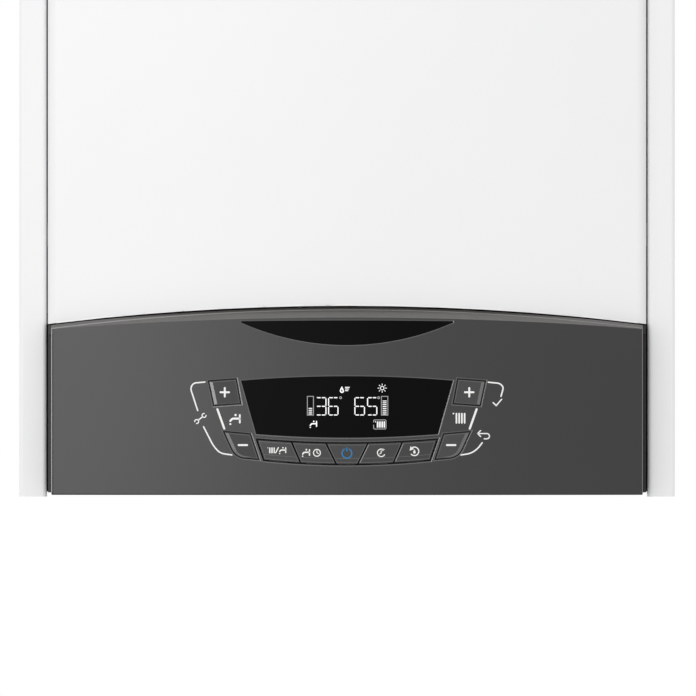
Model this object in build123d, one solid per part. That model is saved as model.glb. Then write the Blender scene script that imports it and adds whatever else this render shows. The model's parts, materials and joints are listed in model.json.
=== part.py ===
"""Wall-hung combination boiler: casing, tilting control panel, burner, fan and hydraulics.

Millimetres. X runs to the right, Y towards the wall (the wall plane is y = 0, so the front
faces -Y) and Z up. The pieces are laid out from the bottom edge of the casing, and each one is
moved down by bracket_height when it is written, so that the origin lies midway between the two
screws of the wall bracket.
"""

import os
from math import cos, pi, radians, sin, sqrt

from build123d import *

# ---------------------------------------------------------------- casing
casing_width = 400.0
casing_height = 745.0
casing_depth = 319.0
sheet = 1.0
flange_width = 16.8
flange_setback = 23.0
flange_bend = 2.5
hem_depth = 12.0
panel_gap = 0.8
seam_gap = 0.9
rear_frame_depth = 12.0
rear_frame_sheet = 1.2
tray_height = 45.0
tray_front_gap = 71.0
tray_lip = 14.0
tail_hole_gap = 1.0
top_lip = 18.0
flue_hole_gap = 1.2
blank_rise = 1.5
blank_floor = 0.6
blank_rim = 4.0
screw_inset = 8.0
screw_back_gap = 28.0
screw_front_gap = 10.0
screw_head_radius = 4.5
screw_head_height = 3.0
screw_recess_radius = 2.0
screw_recess_depth = 1.0

# ---------------------------------------------------------------- front cover
cover_setback = 10.0
cover_crown = 6.0
cover_edge_radius = 6.0
cover_top_radius = 5.0
cover_flange_gap = 1.0
stud_radius = 2.5
stud_length = 18.0
stud_inset = 5.9
stud_levels = (160.0, 700.0)
clip_depth = 8.0
clip_height = 14.0
clip_reach = 7.0
stud_foot_reach = 5.0
stud_foot_sheet = 2.0
stud_foot_half = 7.0
stud_chamfer = 1.0

# ---------------------------------------------------------------- fits
running_gap = 0.06
seat_gap = 0.3
button_gap = 0.55
insert_gap = 0.1
duct_gap = 0.8
cutter_reach = 10.0
cap_reach = 60.0

# ---------------------------------------------------------------- control panel
fascia_side_gap = 3.2
fascia_crown = 8.0
fascia_wall = 2.5
fascia_bottom = 1.2
fascia_corner = 1.5
fascia_inner_corner = 0.5
fascia_arch_height = 115.4
fascia_arch_radius = 1503.0
bevel_depth = 13.0
bevel_slope = 0.477
box_bottom = 2.5
box_top = 100.0
box_setback = 2.0
box_depth = 59.0
box_wall = 2.0
box_rim = 8.4
hinge_inset = 27.0
hinge_height = 12.0
hinge_pin_radius = 4.0
hinge_pin_length = 6.0
hinge_plate = 2.0
hinge_plate_gap = 2.0
hinge_plate_half = 12.0
hinge_plate_below = 9.0
hinge_plate_above = 16.0
hinge_foot = 22.0
badge_half = 66.1
badge_top = 107.3
badge_tip = 106.8
badge_tip_radius = 0.45
badge_bottom = 92.4
badge_pocket = 0.8
badge_proud = 0.2
window_ledge = 2.0
window_thickness = 1.3
window_sink = 0.1
display_top_corner = (64.5, 70.8)
display_top_crest = 73.5
display_low_corner = (55.3, 38.2)
display_low_crest = 36.0
board_setback = 16.0
board_thickness = 1.6
board_half = 105.0
board_bottom = 14.0
board_top = 80.0
post_radius = 3.0
post_inset = 7.0
switch_side = 6.0
switch_height = 3.5
module_half = 52.0
module_bottom = 41.0
module_top = 69.0
module_thickness = 8.0
main_post_radius = 4.0
main_post_length = 10.0
main_post_x = 110.0
main_post_levels = (28.0, 78.0)
main_board_half = 120.0
main_board_bottom = 20.0
main_board_top = 86.0
transformer_place = (-105.0, 40.0)
transformer_size = (40.0, 24.0, 34.0)
relay_count = 4
relay_place = (-50.0, 52.0)
relay_size = (13.0, 12.0, 22.0)
relay_pitch = 20.0
terminal_count = 6
terminal_place = (-55.0, 24.0)
terminal_size = (20.0, 10.0, 12.0)
terminal_pitch = 26.0
capacitor_place = (50.0, 64.0)
capacitor_radius = 9.0
capacitor_length = 22.0

# ---------------------------------------------------------------- buttons
button_travel = 1.2
button_proud = 0.6
button_thickness = 9.0
button_chamfer = 0.5
button_flange = 1.5
button_flange_thickness = 1.5
stem_radius = 2.0
stem_gap = 0.3
minus_corner = 9.0
plus_corners = ((83.65, 70.1), (67.65, 71.3), (65.05, 57.1), (80.65, 56.0))
minus_corners = ((67.6, 24.6), (74.3, 39.3), (59.0, 37.9), (54.15, 23.3))
plus_stem = (74.3, 63.7)
minus_stem = (64.0, 30.6)
row_tab_width = 10.0
row_tab_overlap = 3.0
row_gap = 0.8
row_cut_margin = 5.0
row_end_margin = 20.0
row_top_ends = 34.8
row_top_middle = 32.5
row_bottom_ends = 22.6
row_bottom_middle = 20.0
row_top_stops = (-54.6, -34.3, -13.8, 13.8, 34.3, 54.6)
row_bottom_stops = (-50.4, -29.0, -7.8, 7.8, 29.0, 50.4)
row_names = ("mode_button", "comfort_button", "power_button", "auto_button", "reset_button")

# ---------------------------------------------------------------- wall bracket
bracket_height = 700.0
bracket_half = 160.0
bracket_rise = 18.0
bracket_sheet = 2.0
bracket_hole_radius = 4.25
bracket_hole_spacing = 260.0
hook_spacing = 170.0
hook_width = 30.0
hook_level = 11.0
hook_reach = 20.0
hook_lip = 12.0
hook_slot_side = 1.5
hook_slot_drop = 14.0
access_hole_radius = 8.0

# ---------------------------------------------------------------- flue and air
flue_setback = 110.0
flue_duct_radius = 30.0
flue_duct_wall = 1.5
flue_socket_wall = 1.8
air_socket_radius = 50.3
air_socket_wall = 2.0
adaptor_flange_radius = 66.0
adaptor_flange = 4.0
adaptor_rise = 50.0
adaptor_skirt = 10.0
flue_socket_depth = 45.0
duct_end_gap = 0.5
duct_start = 705.0
duct_seat_depth = 8.0
duct_seat_wall = 3.0
test_point_height = 12.0
test_cap_height = 8.0
test_slot_width = 1.6
test_slot_depth = 1.5
test_point_radius = 5.5
test_point_offset = 59.0
blank_radius = 32.0
blank_spacing = 250.0

# ---------------------------------------------------------------- heat exchanger and burner
exchanger_x = 45.0
exchanger_height = 590.0
exchanger_radius = 100.0
exchanger_wall = 3.0
exchanger_setback = 104.0
exchanger_depth = 165.0
exchanger_flange = 8.0
exchanger_flange_depth = 10.0
exchanger_foot_radius = 7.0
exchanger_foot_circle = 75.0
exchanger_foot_angles = (90, 210, 330)
spigot_length = 10.0
spigot_radius = 12.0
spigot_wall = 3.0
spigot_inset = 60.0
flow_spigot_offset = -40.0
return_spigot_offset = 50.0
waste_spigot_offset = 15.0
waste_spigot_inset = 130.0
coil_back_gap = 8.0
coil_front_gap = 6.0
coil_turn_gap = 1.2
coil_web = 2.0
coil_turns = 9
coil_inner = 66.0
door_thickness = 11.0
door_inlet_radius = 25.0
door_nut_circle = 102.0
door_nut_count = 6
door_stud_radius = 3.0
door_stud_gap = 0.1
door_stud_end = 9.0
door_nut_across = 10.0
door_nut_height = 5.0
burner_radius = 33.0
burner_length = 100.0
burner_wall = 1.2
insulation_inner = 34.0
insulation_outer = 63.0
insulation_thickness = 12.0
electrode_circle = 50.0
electrode_spread = 24.0
electrode_radius = 2.0
ceramic_radius = 5.0
ceramic_front = 22.0
ceramic_back = 20.0
electrode_front = 30.0
electrode_back = 45.0
electrode_plate_width = 22.0
electrode_plate_height = 16.0
electrode_plate = 3.0

# ---------------------------------------------------------------- fan, mixer, silencer, gas valve
fan_x = -118.0
fan_height = 480.0
fan_radius = 60.0
fan_wall = 3.0
fan_depth = 57.0
fan_inlet_radius = 16.0
fan_outlet_offset = 10.0
fan_outlet_width = 42.0
fan_outlet_top = 560.0
impeller_radius = 50.0
impeller_blades = 9
impeller_shaft_radius = 4.0
impeller_front_gap = 5.0
impeller_back_gap = 10.0
impeller_disc = 2.0
impeller_hub_radius = 12.0
impeller_hub_length = 16.0
impeller_blade_root = 24.0
impeller_blade = 2.0
shaft_hole_gap = 2.0
fan_motor_radius = 38.0
fan_motor_length = 28.0
fan_motor_chamfer = 4.0
fan_motor_cap = 4.0
fan_shaft_gap = 5.0
mixer_wall = 3.0
mixer_depth = 47.0
mixer_half = 26.0
silencer_width = 104.0
silencer_bottom = 600.0
silencer_top = 735.0
silencer_back = 60.0
silencer_depth = 140.0
silencer_wall = 2.0
silencer_corner = 10.0
silencer_inlet = (20.0, 24.0, 90.0, 140.0)
snorkel_bend = 25.0
gas_neck_radius = 11.0
gas_neck_bore = 6.0
snorkel_radius = 18.0
snorkel_gap = 30.0
gas_valve_half = 35.0
gas_valve_depth = 70.0
gas_valve_bottom = 340.0
gas_valve_top = 420.0
gas_neck_top = 446.0
gas_valve_corner = 6.0
gas_neck_outer = 9.0
gas_neck_drop = 10.0
gas_inlet_radius = 12.0
gas_inlet_length = 10.0
solenoid_radius = 14.0
solenoid_length = 30.0
solenoid_offset = 17.0
solenoid_rise = 8.0

# ---------------------------------------------------------------- hydraulics
vessel_radius = 150.0
vessel_height = 330.0
vessel_back = 12.0
vessel_front = 84.0
vessel_flat = 50.0
vessel_rim = 4.0
vessel_rim_height = 12.0
vessel_wall = 1.5
vessel_nipple_x = 62.0
vessel_nipple_drop = 80.0
vessel_nipple_length = 8.0
tail_inset = 40.0
tail_margin = 68.0
large_tail_radius = 13.22
small_tail_radius = 10.48
tail_wall = 3.0
tail_bottom = 14.0
tail_nut_across = 32.0
tail_nut_height = 7.0
block_top = 150.0
block_setback = 149.0
block_depth = 84.0
block_overhang = 16.0
left_block_margin = 42.0
right_block_margin = 47.0
plate_half = 90.0
plate_bottom = 62.0
plate_top = 145.0
plate_depth = 49.0
plate_count = 14
plate_end = 2.0
plate_inset = 2.0
plate_share = 0.6
block_corner = 8.0
flow_offset = 28.0
flow_collar = 4.0
pump_offset = 42.0
pump_height = 150.0
pump_volute_radius = 44.0
pump_volute_depth = 30.0
pump_motor_radius = 40.0
pump_motor_length = 62.0
pump_impeller_radius = 34.0
pump_impeller_gap = 3.0
pump_volute_root = 30.0
pump_volute_floor = 4.0
pump_motor_chamfer = 5.0
pump_plug = 5.0
pump_shaft_cap = 15.0
pump_shaft_gap = 3.0
pump_wheel_gap = 4.0
pump_disc = 3.0
pump_hub_radius = 9.0
pump_hub_length = 18.0
pump_blades = 6
pump_blade_root = 8.0
pump_blade_length = 16.0
pump_blade = 2.4
vent_inset = 24.0
vent_radius = 13.0
vent_height = 45.0
vent_cap_radius = 5.0
vent_cap_height = 10.0
vent_corner = 2.0
diverter_offset = 4.0
diverter_radius = 9.0
diverter_rod_radius = 3.0
diverter_bottom = 78.0
diverter_travel = 8.0
diverter_motor_radius = 20.0
diverter_motor_top = 216.0
diverter_motor_corner = 4.0
diverter_start = 12.0
diverter_piston = 26.0
diverter_groove = (9.0, 17.0)
diverter_groove_depth = 3.0
diverter_rod_rise = 22.0
diverter_end_gap = 6.0
turbine_radius = 8.5
turbine_level = 76.0
turbine_height = 12.0
turbine_chamber = 12.0
turbine_chamber_gap = 1.0
turbine_axle_radius = 1.5
turbine_axle_half = 16.0
turbine_axle_room = 17.0
turbine_hub_radius = 3.0
turbine_blade = 1.0
turbine_blade_height = 9.0
turbine_blade_inset = 1.0
turbine_pitch = 30.0
safety_offset = 17.0
safety_height = 80.0
knob_radius = 14.0
knob_length = 14.0
knob_shaft_radius = 3.0
knob_shaft_depth = 5.0
knob_ribs = 8
knob_rib = 3.0
knob_rib_rise = 1.0
knob_chamfer = 0.4
valve_boss_radius = 10.0
valve_boss_length = 20.0
valve_boss_floor = 3.0
tap_stub_wall = 4.0
tap_stub_length = 11.0
tap_shaft_rise = 3.0
tap_bore_rise = 5.0
tap_knob_radius = 11.0
tap_knob_length = 15.0
tap_knob_ribs = 6
filling_inset = 15.0
trap_radius = 27.0
trap_side_gap = 1.0
trap_front_gap = 3.0
trap_top = 230.0
trap_corner = 6.0
trap_wall = 3.0
trap_cap = 10.0
trap_spigot = 14.0
waste_length = 29.0
waste_wall = 2.0
waste_radius = 10.75
waste_nut_across = 28.0
waste_nut_height = 6.0
gland_radius = 8.0
gland_margin = 24.0
gland_spacing = 26.0
gland_front_gap = 25.0
cable_hole_radius = 4.0
gland_below = 14.0
gland_above = 8.0
gland_across = 20.0
gland_nut_below = 6.0
gland_nut_above = 5.0
copper_radius = 9.0
gas_pipe_radius = 7.5
pipe_wall = 1.0
hose_radius = 8.0
hose_wall = 2.0
pipe_bend = 25.0
hose_bend = 28.0
waste_bend = 35.0
vessel_hose_reach = 40.0
flow_turn_levels = (150.0, 250.0)
return_turn_levels = (70.0, 150.0, 250.0)
return_jog_x = 18.0
return_jog_y = 15.0
gas_turn_levels = (164.0, 55.0)
waste_turn_levels = (60.0, 100.0)

# ---------------------------------------------------------------- derived places
half = casing_width / 2
inner_half = half - sheet
opening_half = half - flange_width
flange_face = casing_depth - flange_setback
hem_end = flange_face - hem_depth
cover_half = opening_half - panel_gap
cover_front = casing_depth - cover_setback
cover_back = hem_end + cover_flange_gap
fascia_half = opening_half - fascia_side_gap
box_half = cover_half
tray_top = tray_height + sheet
tray_front = flange_face - tray_front_gap
cover_arch_height = fascia_arch_height + seam_gap
bevel_plane = casing_depth - bevel_depth
stud_x = cover_half - stud_inset
hinge_plate_inner = box_half + hinge_plate_gap
trap_x = inner_half - trap_side_gap - trap_radius
trap_y = -(tray_front - trap_front_gap - trap_radius)
box_front = flange_face - box_setback
box_back = box_front - box_depth
hinge_depth = box_back + hinge_inset
board_front = casing_depth - board_setback
exchanger_front = casing_depth - exchanger_setback
exchanger_back = exchanger_front - exchanger_depth
fan_front = exchanger_front + mixer_depth
fan_back = fan_front - fan_depth
fan_outlet_left = fan_x + fan_outlet_offset
fan_outlet_right = fan_outlet_left + fan_outlet_width
snorkel_y = -(fan_back - snorkel_gap)
silencer_front = silencer_back + silencer_depth
block_front = casing_depth - block_setback
block_back = block_front - block_depth
tail_setback = block_front - tail_inset
tail_spacing = (half - tail_margin) / 2
outer_tail_x = 2 * tail_spacing
block_inner = tail_spacing - block_overhang
left_block = (left_block_margin - half, -block_inner)
right_block = (block_inner, half - right_block_margin)
plate_back = block_back - plate_depth
pump_x = outer_tail_x - pump_offset
pump_volute_front = block_front + pump_volute_depth
pump_motor_front = pump_volute_front + pump_motor_length
vent_x = outer_tail_x
vent_y = -(block_back + vent_inset)
diverter_x = diverter_offset - outer_tail_x
safety_x = outer_tail_x - safety_offset
filling_x = -1.5 * tail_spacing
filling_y = -(block_front - filling_inset)
gland_x = (gland_margin - half, gland_margin + gland_spacing - half)
gland_y = -(tray_front - gland_front_gap)
door_front = exchanger_front + door_thickness
spigot_end = exchanger_height - exchanger_radius - spigot_length
spigot_y = -(exchanger_back + spigot_inset)
waste_spigot_y = -(exchanger_back + waste_spigot_inset)
flow_spigot_x = exchanger_x + flow_spigot_offset
return_spigot_x = exchanger_x + return_spigot_offset
waste_spigot_x = exchanger_x + waste_spigot_offset
socket_top = casing_height + adaptor_rise
socket_floor = socket_top - flue_socket_depth
duct_end = socket_floor - duct_end_gap
duct_seat_radius = flue_duct_radius + duct_gap
tap_stub_radius = knob_shaft_radius + tap_stub_wall
flow_pipe_x = (left_block[0] + left_block[1]) / 2 + flow_offset
vessel_nipple_z = vessel_height - vessel_nipple_drop
vessel_nipple_front = vessel_front + vessel_nipple_length
diverter_rod_top = block_top + diverter_rod_rise


# ---------------------------------------------------------------- shared shapes
def block(x0, x1, y0, y1, z0, z1):
    """Box between two corners."""
    middle = Pos((x0 + x1) / 2, (y0 + y1) / 2, (z0 + z1) / 2)
    return middle * Box(x1 - x0, y1 - y0, z1 - z0)


def rod_x(y, z, x0, x1, radius):
    """Round bar along X."""
    return Pos((x0 + x1) / 2, y, z) * Rot(0, 90, 0) * Cylinder(radius, x1 - x0)


def rod_y(x, z, y0, y1, radius):
    """Round bar along Y."""
    return Pos(x, (y0 + y1) / 2, z) * Rot(90, 0, 0) * Cylinder(radius, y1 - y0)


def rod_z(x, y, z0, z1, radius):
    """Round bar along Z."""
    return Pos(x, y, (z0 + z1) / 2) * Cylinder(radius, z1 - z0)


def hexagon_z(x, y, z0, z1, across):
    """Hexagonal nut body along Z, from its size across the flats."""
    face = RegularPolygon(across / 2, 6, major_radius=False)
    return extrude(Pos(x, y, z0) * face, amount=z1 - z0)


def hexagon_y(x, z, y0, y1, across):
    """Hexagonal nut body along Y, from its size across the flats."""
    face = RegularPolygon(across / 2, 6, major_radius=False)
    return extrude(front_plane(y1) * Pos(x, z, 0) * face, amount=y1 - y0)


def front_plane(y):
    """Plane across the boiler at y, drawn as seen from the front."""
    return Plane(origin=(0, y, 0), x_dir=(1, 0, 0), z_dir=(0, -1, 0))


def prism(outline, front, back):
    """Outline drawn in the front view, running from depth front to depth back."""
    return extrude(front_plane(-back) * outline, amount=front - back)


def closed_outline(points):
    """Straight-sided face through the points."""
    return make_face(Polyline(*points, close=True))


def ring_z(x, y, z0, z1, outer, inner):
    """Round tube along Z."""
    return rod_z(x, y, z0, z1, outer) - rod_z(x, y, z0 - 1, z1 + 1, inner)


def pipe(points, bend, outer, wall):
    """Round pipe with bends of one radius through the points."""
    path = FilletPolyline(*points, radius=bend)
    section = Plane(origin=path @ 0, z_dir=path % 0) * (Circle(outer) - Circle(outer - wall))
    return sweep(section, path=path)


def crown_rise(x, half_width, crown):
    """How far a face with this crown falls back from its crest at x."""
    radius = (half_width**2 + crown**2) / (2 * crown)
    return radius - sqrt(radius**2 - x**2)


def crowned_block(half_width, crown, front, back, bottom, top, corner, inset):
    """Upright block with a convex front and rounded front corners, inset on its outer faces."""
    radius = (half_width**2 + crown**2) / (2 * crown) - inset
    side = half_width - inset
    face = front - inset
    edge = face - (radius - sqrt(radius**2 - side**2))
    sides = Polyline((side, -edge), (side, -back), (-side, -back), (-side, -edge))
    bow = ThreePointArc((-side, -edge), (0, -face), (side, -edge))
    plan = make_face(sides + bow)
    corners = plan.vertices().sort_by(Axis.Y)[:2]
    plan = fillet(corners, corner)
    return extrude(Pos(0, 0, bottom) * plan, amount=top - bottom)


def above_arch(height, margin):
    """Front-view face above the arched seam, whose crest is at this height."""
    side = half + margin
    low = height - fascia_arch_radius + sqrt(fascia_arch_radius**2 - side**2)
    arch = ThreePointArc((-side, low), (0, height), (side, low))
    cap = Polyline((side, low), (side, height + margin), (-side, height + margin), (-side, low))
    return make_face(arch + cap)


# ---------------------------------------------------------------- casing pieces
def side_panel(hand):
    """Folded side sheet: long web, front flange and hem. hand is -1 on the left, 1 on the right."""
    outline = FilletPolyline(
        (half, 0), (half, -flange_face), (opening_half, -flange_face), (opening_half, -hem_end),
        radius=flange_bend,
    )
    section = make_face(offset(outline, amount=sheet, side=Side.RIGHT, closed=True))
    panel = extrude(section, amount=casing_height)
    return panel if hand > 0 else mirror(panel, about=Plane.YZ)


def top_panel():
    """Top sheet with its flue hole, two air knock-outs, a front lip and ears over the side flanges."""
    top = casing_height
    under = top - sheet
    panel = block(-inner_half, inner_half, -hem_end, 0, under, top)
    ear_inner = cover_half + panel_gap
    for hand in (-1, 1):
        inner, outer = sorted((hand * (ear_inner + sheet), hand * inner_half))
        panel += block(inner, outer, -flange_face + sheet, -hem_end, under, top)
    panel += block(-opening_half, opening_half, -hem_end, -hem_end + sheet, top - top_lip, under)
    hole = flue_duct_radius + flue_socket_wall + flue_hole_gap
    panel -= rod_z(0, -flue_setback, under - 1, top + 1, hole)
    for x in (-blank_spacing / 2, blank_spacing / 2):
        plug = rod_z(x, -flue_setback, top, top + blank_rise, blank_radius)
        dish = rod_z(x, -flue_setback, top + blank_floor, top + blank_rise + 1, blank_radius - blank_rim)
        panel += plug - dish
    return panel


def back_frame():
    """Rear tray whose rims stand on the wall, slotted for the hooks of the wall bracket."""
    depth = rear_frame_depth
    outer = block(-inner_half, inner_half, -depth, 0, 0, casing_height - sheet)
    thick = rear_frame_sheet
    hollow = block(
        -inner_half + thick, inner_half - thick, -depth + thick, 1, thick, casing_height - sheet - thick
    )
    frame = outer - hollow
    slot_top = bracket_height + hook_level + bracket_sheet
    for x in (-hook_spacing / 2, hook_spacing / 2):
        reach = hook_width / 2 + hook_slot_side
        slot_low = slot_top - hook_slot_drop
        frame -= block(x - reach, x + reach, -depth - 1, -depth + thick + 1, slot_low, slot_top)
    for x in (-bracket_hole_spacing / 2, bracket_hole_spacing / 2):
        frame -= rod_y(x, bracket_height, -depth - 1, -depth + thick + 1, access_hole_radius)
    return frame


def wall_bracket():
    """Steel strip screwed to the wall, with two upturned hooks that carry the back frame."""
    low = bracket_height - bracket_rise
    high = bracket_height + bracket_rise
    strip = block(-bracket_half, bracket_half, -bracket_sheet, 0, low, high)
    level = bracket_height + hook_level
    for x in (-hook_spacing / 2, hook_spacing / 2):
        left, right = x - hook_width / 2, x + hook_width / 2
        strip += block(left, right, -hook_reach, -bracket_sheet, level, level + bracket_sheet)
        lip_back = -hook_reach + bracket_sheet
        strip += block(left, right, -hook_reach, lip_back, level, level + hook_lip)
    for x in (-bracket_hole_spacing / 2, bracket_hole_spacing / 2):
        strip -= rod_y(x, bracket_height, -bracket_sheet - 1, 1, bracket_hole_radius)
    return strip


def tail_positions():
    """Places of the five pipe tails along X: flow, hot water, gas, cold water, return."""
    return [(index - 2) * tail_spacing for index in range(5)]


def tail_radius(index):
    """Outer thread radius of a tail: the two water tails are the small size."""
    return small_tail_radius if index in (1, 3) else large_tail_radius


def bottom_tray():
    """Bottom sheet that carries the hydraulics, pierced for the tails, glands, waste and filling tap."""
    back = rear_frame_depth
    tray = block(-inner_half, inner_half, -tray_front, -back, tray_height, tray_top)
    tray += block(-inner_half, inner_half, -tray_front, -tray_front + sheet, tray_top, tray_top + tray_lip)
    low, high = tray_height - 1, tray_top + 1
    for index, x in enumerate(tail_positions()):
        tray -= rod_z(x, -tail_setback, low, high, tail_radius(index) + tail_hole_gap)
    for x in gland_x:
        tray -= rod_z(x, gland_y, low, high, gland_radius + seat_gap)
    tray -= rod_z(trap_x, trap_y, low, high, waste_radius + seat_gap)
    tray -= rod_z(filling_x, filling_y, low, high, tap_stub_radius + seat_gap)
    return tray


def casing_screws():
    """Screws up through the sides of the tray into the side panels, three on each side."""
    screws = []
    low = tray_height - screw_head_height
    first, last = rear_frame_depth + screw_back_gap, tray_front - screw_front_gap
    for hand in (-1, 1):
        for setback in (first, (first + last) / 2, last):
            x, y = hand * (inner_half - screw_inset), -setback
            head = rod_z(x, y, low, tray_height, screw_head_radius)
            screws.append(head - rod_z(x, y, low - 1, low + screw_recess_depth, screw_recess_radius))
    return screws


def hinge_brackets():
    """Steel ears inside the side panels, bored for the pins of the control box."""
    brackets = []
    x0, x1 = hinge_plate_inner, hinge_plate_inner + hinge_plate
    y0, y1 = -hinge_depth - hinge_plate_half, -hinge_depth + hinge_plate_half
    z0, z1 = hinge_height - hinge_plate_below, hinge_height + hinge_plate_above
    for hand in (-1, 1):
        plate = block(x0, x1, y0, y1, z0, z1)
        plate += block(x0, inner_half, y1 - hinge_plate, y1, z0, z1)
        plate += block(inner_half - hinge_plate, inner_half, y1, y1 + hinge_foot, z0, z1)
        plate -= rod_x(-hinge_depth, hinge_height, x0 - 1, x1 + 1, hinge_pin_radius + running_gap)
        brackets.append(plate if hand > 0 else mirror(plate, about=Plane.YZ))
    return brackets


def cover_clips():
    """Spring clips behind the hems, bored for the studs of the front cover."""
    clips = []
    front, back = -hem_end, -hem_end + clip_depth
    for hand in (-1, 1):
        for level in stud_levels:
            x0, x1 = sorted((hand * (stud_x - clip_reach), hand * (opening_half + sheet)))
            clip = block(x0, x1, front, back, level - clip_height / 2, level + clip_height / 2)
            clips.append(clip - rod_y(hand * stud_x, level, front - 1, back + 1, stud_radius + running_gap))
    return clips


def front_cover():
    """Convex front sheet with side and top flanges and a lip along the arched seam."""
    def shape(inset, back):
        return crowned_block(
            cover_half, cover_crown, cover_front, back, box_bottom, casing_height - inset,
            cover_edge_radius - inset, inset,
        )

    outer = shape(0, cover_back)
    rear_y = -cover_back
    rim = outer.faces().sort_by(Axis.Z)[-1].edges()
    outer = fillet([edge for edge in rim if edge.center().Y < rear_y - 0.1], cover_top_radius)
    inner = shape(sheet, cover_back - cap_reach)
    inner_rear = -cover_back + cap_reach
    rim = inner.faces().sort_by(Axis.Z)[-1].edges()
    inner = fillet([edge for edge in rim if edge.center().Y < inner_rear - 0.1], cover_top_radius - sheet)
    keep_outer = prism(above_arch(cover_arch_height, casing_height), casing_depth + cap_reach, 0)
    keep_inner = prism(above_arch(cover_arch_height + sheet, casing_height), casing_depth + cap_reach, 0)
    return (outer & keep_outer) - (inner & keep_inner)


def cover_studs():
    """Studs on the inside of the cover, each on a small welded angle."""
    studs = []
    front = -cover_back - stud_foot_reach
    back = front + stud_foot_sheet
    for hand in (-1, 1):
        for level in stud_levels:
            x0, x1 = sorted((hand * (stud_x - stud_foot_reach), hand * (cover_half - sheet)))
            angle = block(x0, x1, front, back, level - stud_foot_half, level + stud_foot_half)
            pin = rod_y(hand * stud_x, level, back, back + stud_length, stud_radius)
            tip = pin.faces().sort_by(Axis.Y)[-1].edges()
            studs.append(angle + chamfer(tip, stud_chamfer))
    return studs


# ---------------------------------------------------------------- control panel outlines
def display_outline():
    """Display window: arched top and bottom, sides leaning in."""
    (top_x, top_z), (low_x, low_z) = display_top_corner, display_low_corner
    top = ThreePointArc((-top_x, top_z), (0, display_top_crest), (top_x, top_z))
    right = Line((top_x, top_z), (low_x, low_z))
    bottom = ThreePointArc((low_x, low_z), (0, display_low_crest), (-low_x, low_z))
    return make_face(top + right + bottom + Line((-low_x, low_z), (-top_x, top_z)))


def badge_outline():
    """Crescent badge: nearly straight above, deep arc below, rounded tips."""
    top = ThreePointArc((-badge_half, badge_tip), (0, badge_top), (badge_half, badge_tip))
    bottom = ThreePointArc((badge_half, badge_tip), (0, badge_bottom), (-badge_half, badge_tip))
    outline = make_face(top + bottom)
    return fillet(outline.vertices(), badge_tip_radius)


def plus_outline(hand):
    """Upper corner button."""
    return closed_outline([(hand * x, z) for x, z in plus_corners])


def minus_outline(hand):
    """Lower corner button, rounded on its lower outer side."""
    outline = closed_outline([(hand * x, z) for x, z in minus_corners])
    x, z = minus_corners[0]
    return fillet(outline.vertices().sort_by_distance((hand * x, z))[0], minus_corner)


def row_band():
    """Arched band under the display that the five middle buttons fill."""
    top_half, bottom_half = row_top_stops[-1], row_bottom_stops[-1]
    top = ThreePointArc((-top_half, row_top_ends), (0, row_top_middle), (top_half, row_top_ends))
    low_right, low_left = (bottom_half, row_bottom_ends), (-bottom_half, row_bottom_ends)
    bottom = ThreePointArc(low_right, (0, row_bottom_middle), low_left)
    right = Line((top_half, row_top_ends), (bottom_half, row_bottom_ends))
    left = Line((-bottom_half, row_bottom_ends), (-top_half, row_top_ends))
    return make_face(top + right + bottom + left)


def row_outline(index):
    """One of the five middle buttons: the band between two slanted cuts."""
    margin = row_cut_margin
    left_gap = -row_end_margin if index == 0 else row_gap / 2
    right_gap = -row_end_margin if index == len(row_names) - 1 else row_gap / 2
    rise = row_top_ends - row_bottom_ends
    corners = []
    for stop, gap in ((index, left_gap), (index + 1, -right_gap)):
        top, bottom = row_top_stops[stop] + gap, row_bottom_stops[stop] + gap
        lean = (top - bottom) / rise * margin
        corners.append([(bottom - lean, row_bottom_ends - margin), (top + lean, row_top_ends + margin)])
    (low_left, high_left), (low_right, high_right) = corners
    return row_band() & closed_outline([low_left, high_left, high_right, low_right])


# ---------------------------------------------------------------- control panel pieces
def fascia_block(inset, back):
    """Solid bounded by the fascia's faces moved inwards by inset (outwards where negative)."""
    return crowned_block(
        fascia_half, fascia_crown, casing_depth, back, fascia_bottom + inset,
        fascia_arch_height + cutter_reach, max(fascia_corner - inset, fascia_inner_corner), inset,
    )


def seam_cutter(drop):
    """Everything above the arched seam, with the bevel that runs down and forward from it."""
    straight = prism(above_arch(fascia_arch_height - drop, cap_reach), casing_depth + cap_reach, 0)
    arch = front_plane(-bevel_plane) * above_arch(fascia_arch_height - drop, cap_reach)
    bevel = extrude(arch, amount=cap_reach, dir=(0, -1, -bevel_slope))
    return straight + bevel


def between(outline, shallow, deep):
    """Outline cut out of the layer between two depths below the fascia's face."""
    layer = fascia_block(shallow, board_front) - fascia_block(deep, board_front)
    return prism(outline, casing_depth + cutter_reach, board_front + 1) & layer


def fascia():
    """Moulded fascia shell with its openings, badge pocket, window ledge and posts."""
    outer = fascia_block(0, box_front)
    low = outer.edges().group_by(Axis.Z)[0].sort_by(Axis.Y)[:3]
    outer = fillet(low, fascia_corner / 2)
    shell = outer - seam_cutter(0)
    inner = fascia_block(fascia_wall, box_front - cutter_reach) - seam_cutter(fascia_wall)
    shell -= inner
    ledge = offset(display_outline(), -window_ledge)
    shell -= prism(ledge, casing_depth + cutter_reach, board_front)
    pocket = offset(display_outline(), insert_gap)
    shell -= between(pocket, -cutter_reach / 2, window_thickness + window_sink)
    shell -= between(offset(badge_outline(), insert_gap), -cutter_reach / 2, badge_pocket)
    shell -= prism(offset(row_band(), button_gap), casing_depth + cutter_reach, board_front)
    for hand in (-1, 1):
        shell -= prism(offset(plus_outline(hand), button_gap), casing_depth + cutter_reach, board_front)
        shell -= prism(offset(minus_outline(hand), button_gap), casing_depth + cutter_reach, board_front)
    for x in (-board_half + post_inset, board_half - post_inset):
        for z in (board_bottom + post_inset, board_top - post_inset):
            face = casing_depth - fascia_wall - crown_rise(x, fascia_half, fascia_crown) + 1
            shell += rod_y(x, z, -face, -board_front, post_radius)
    return shell


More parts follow.
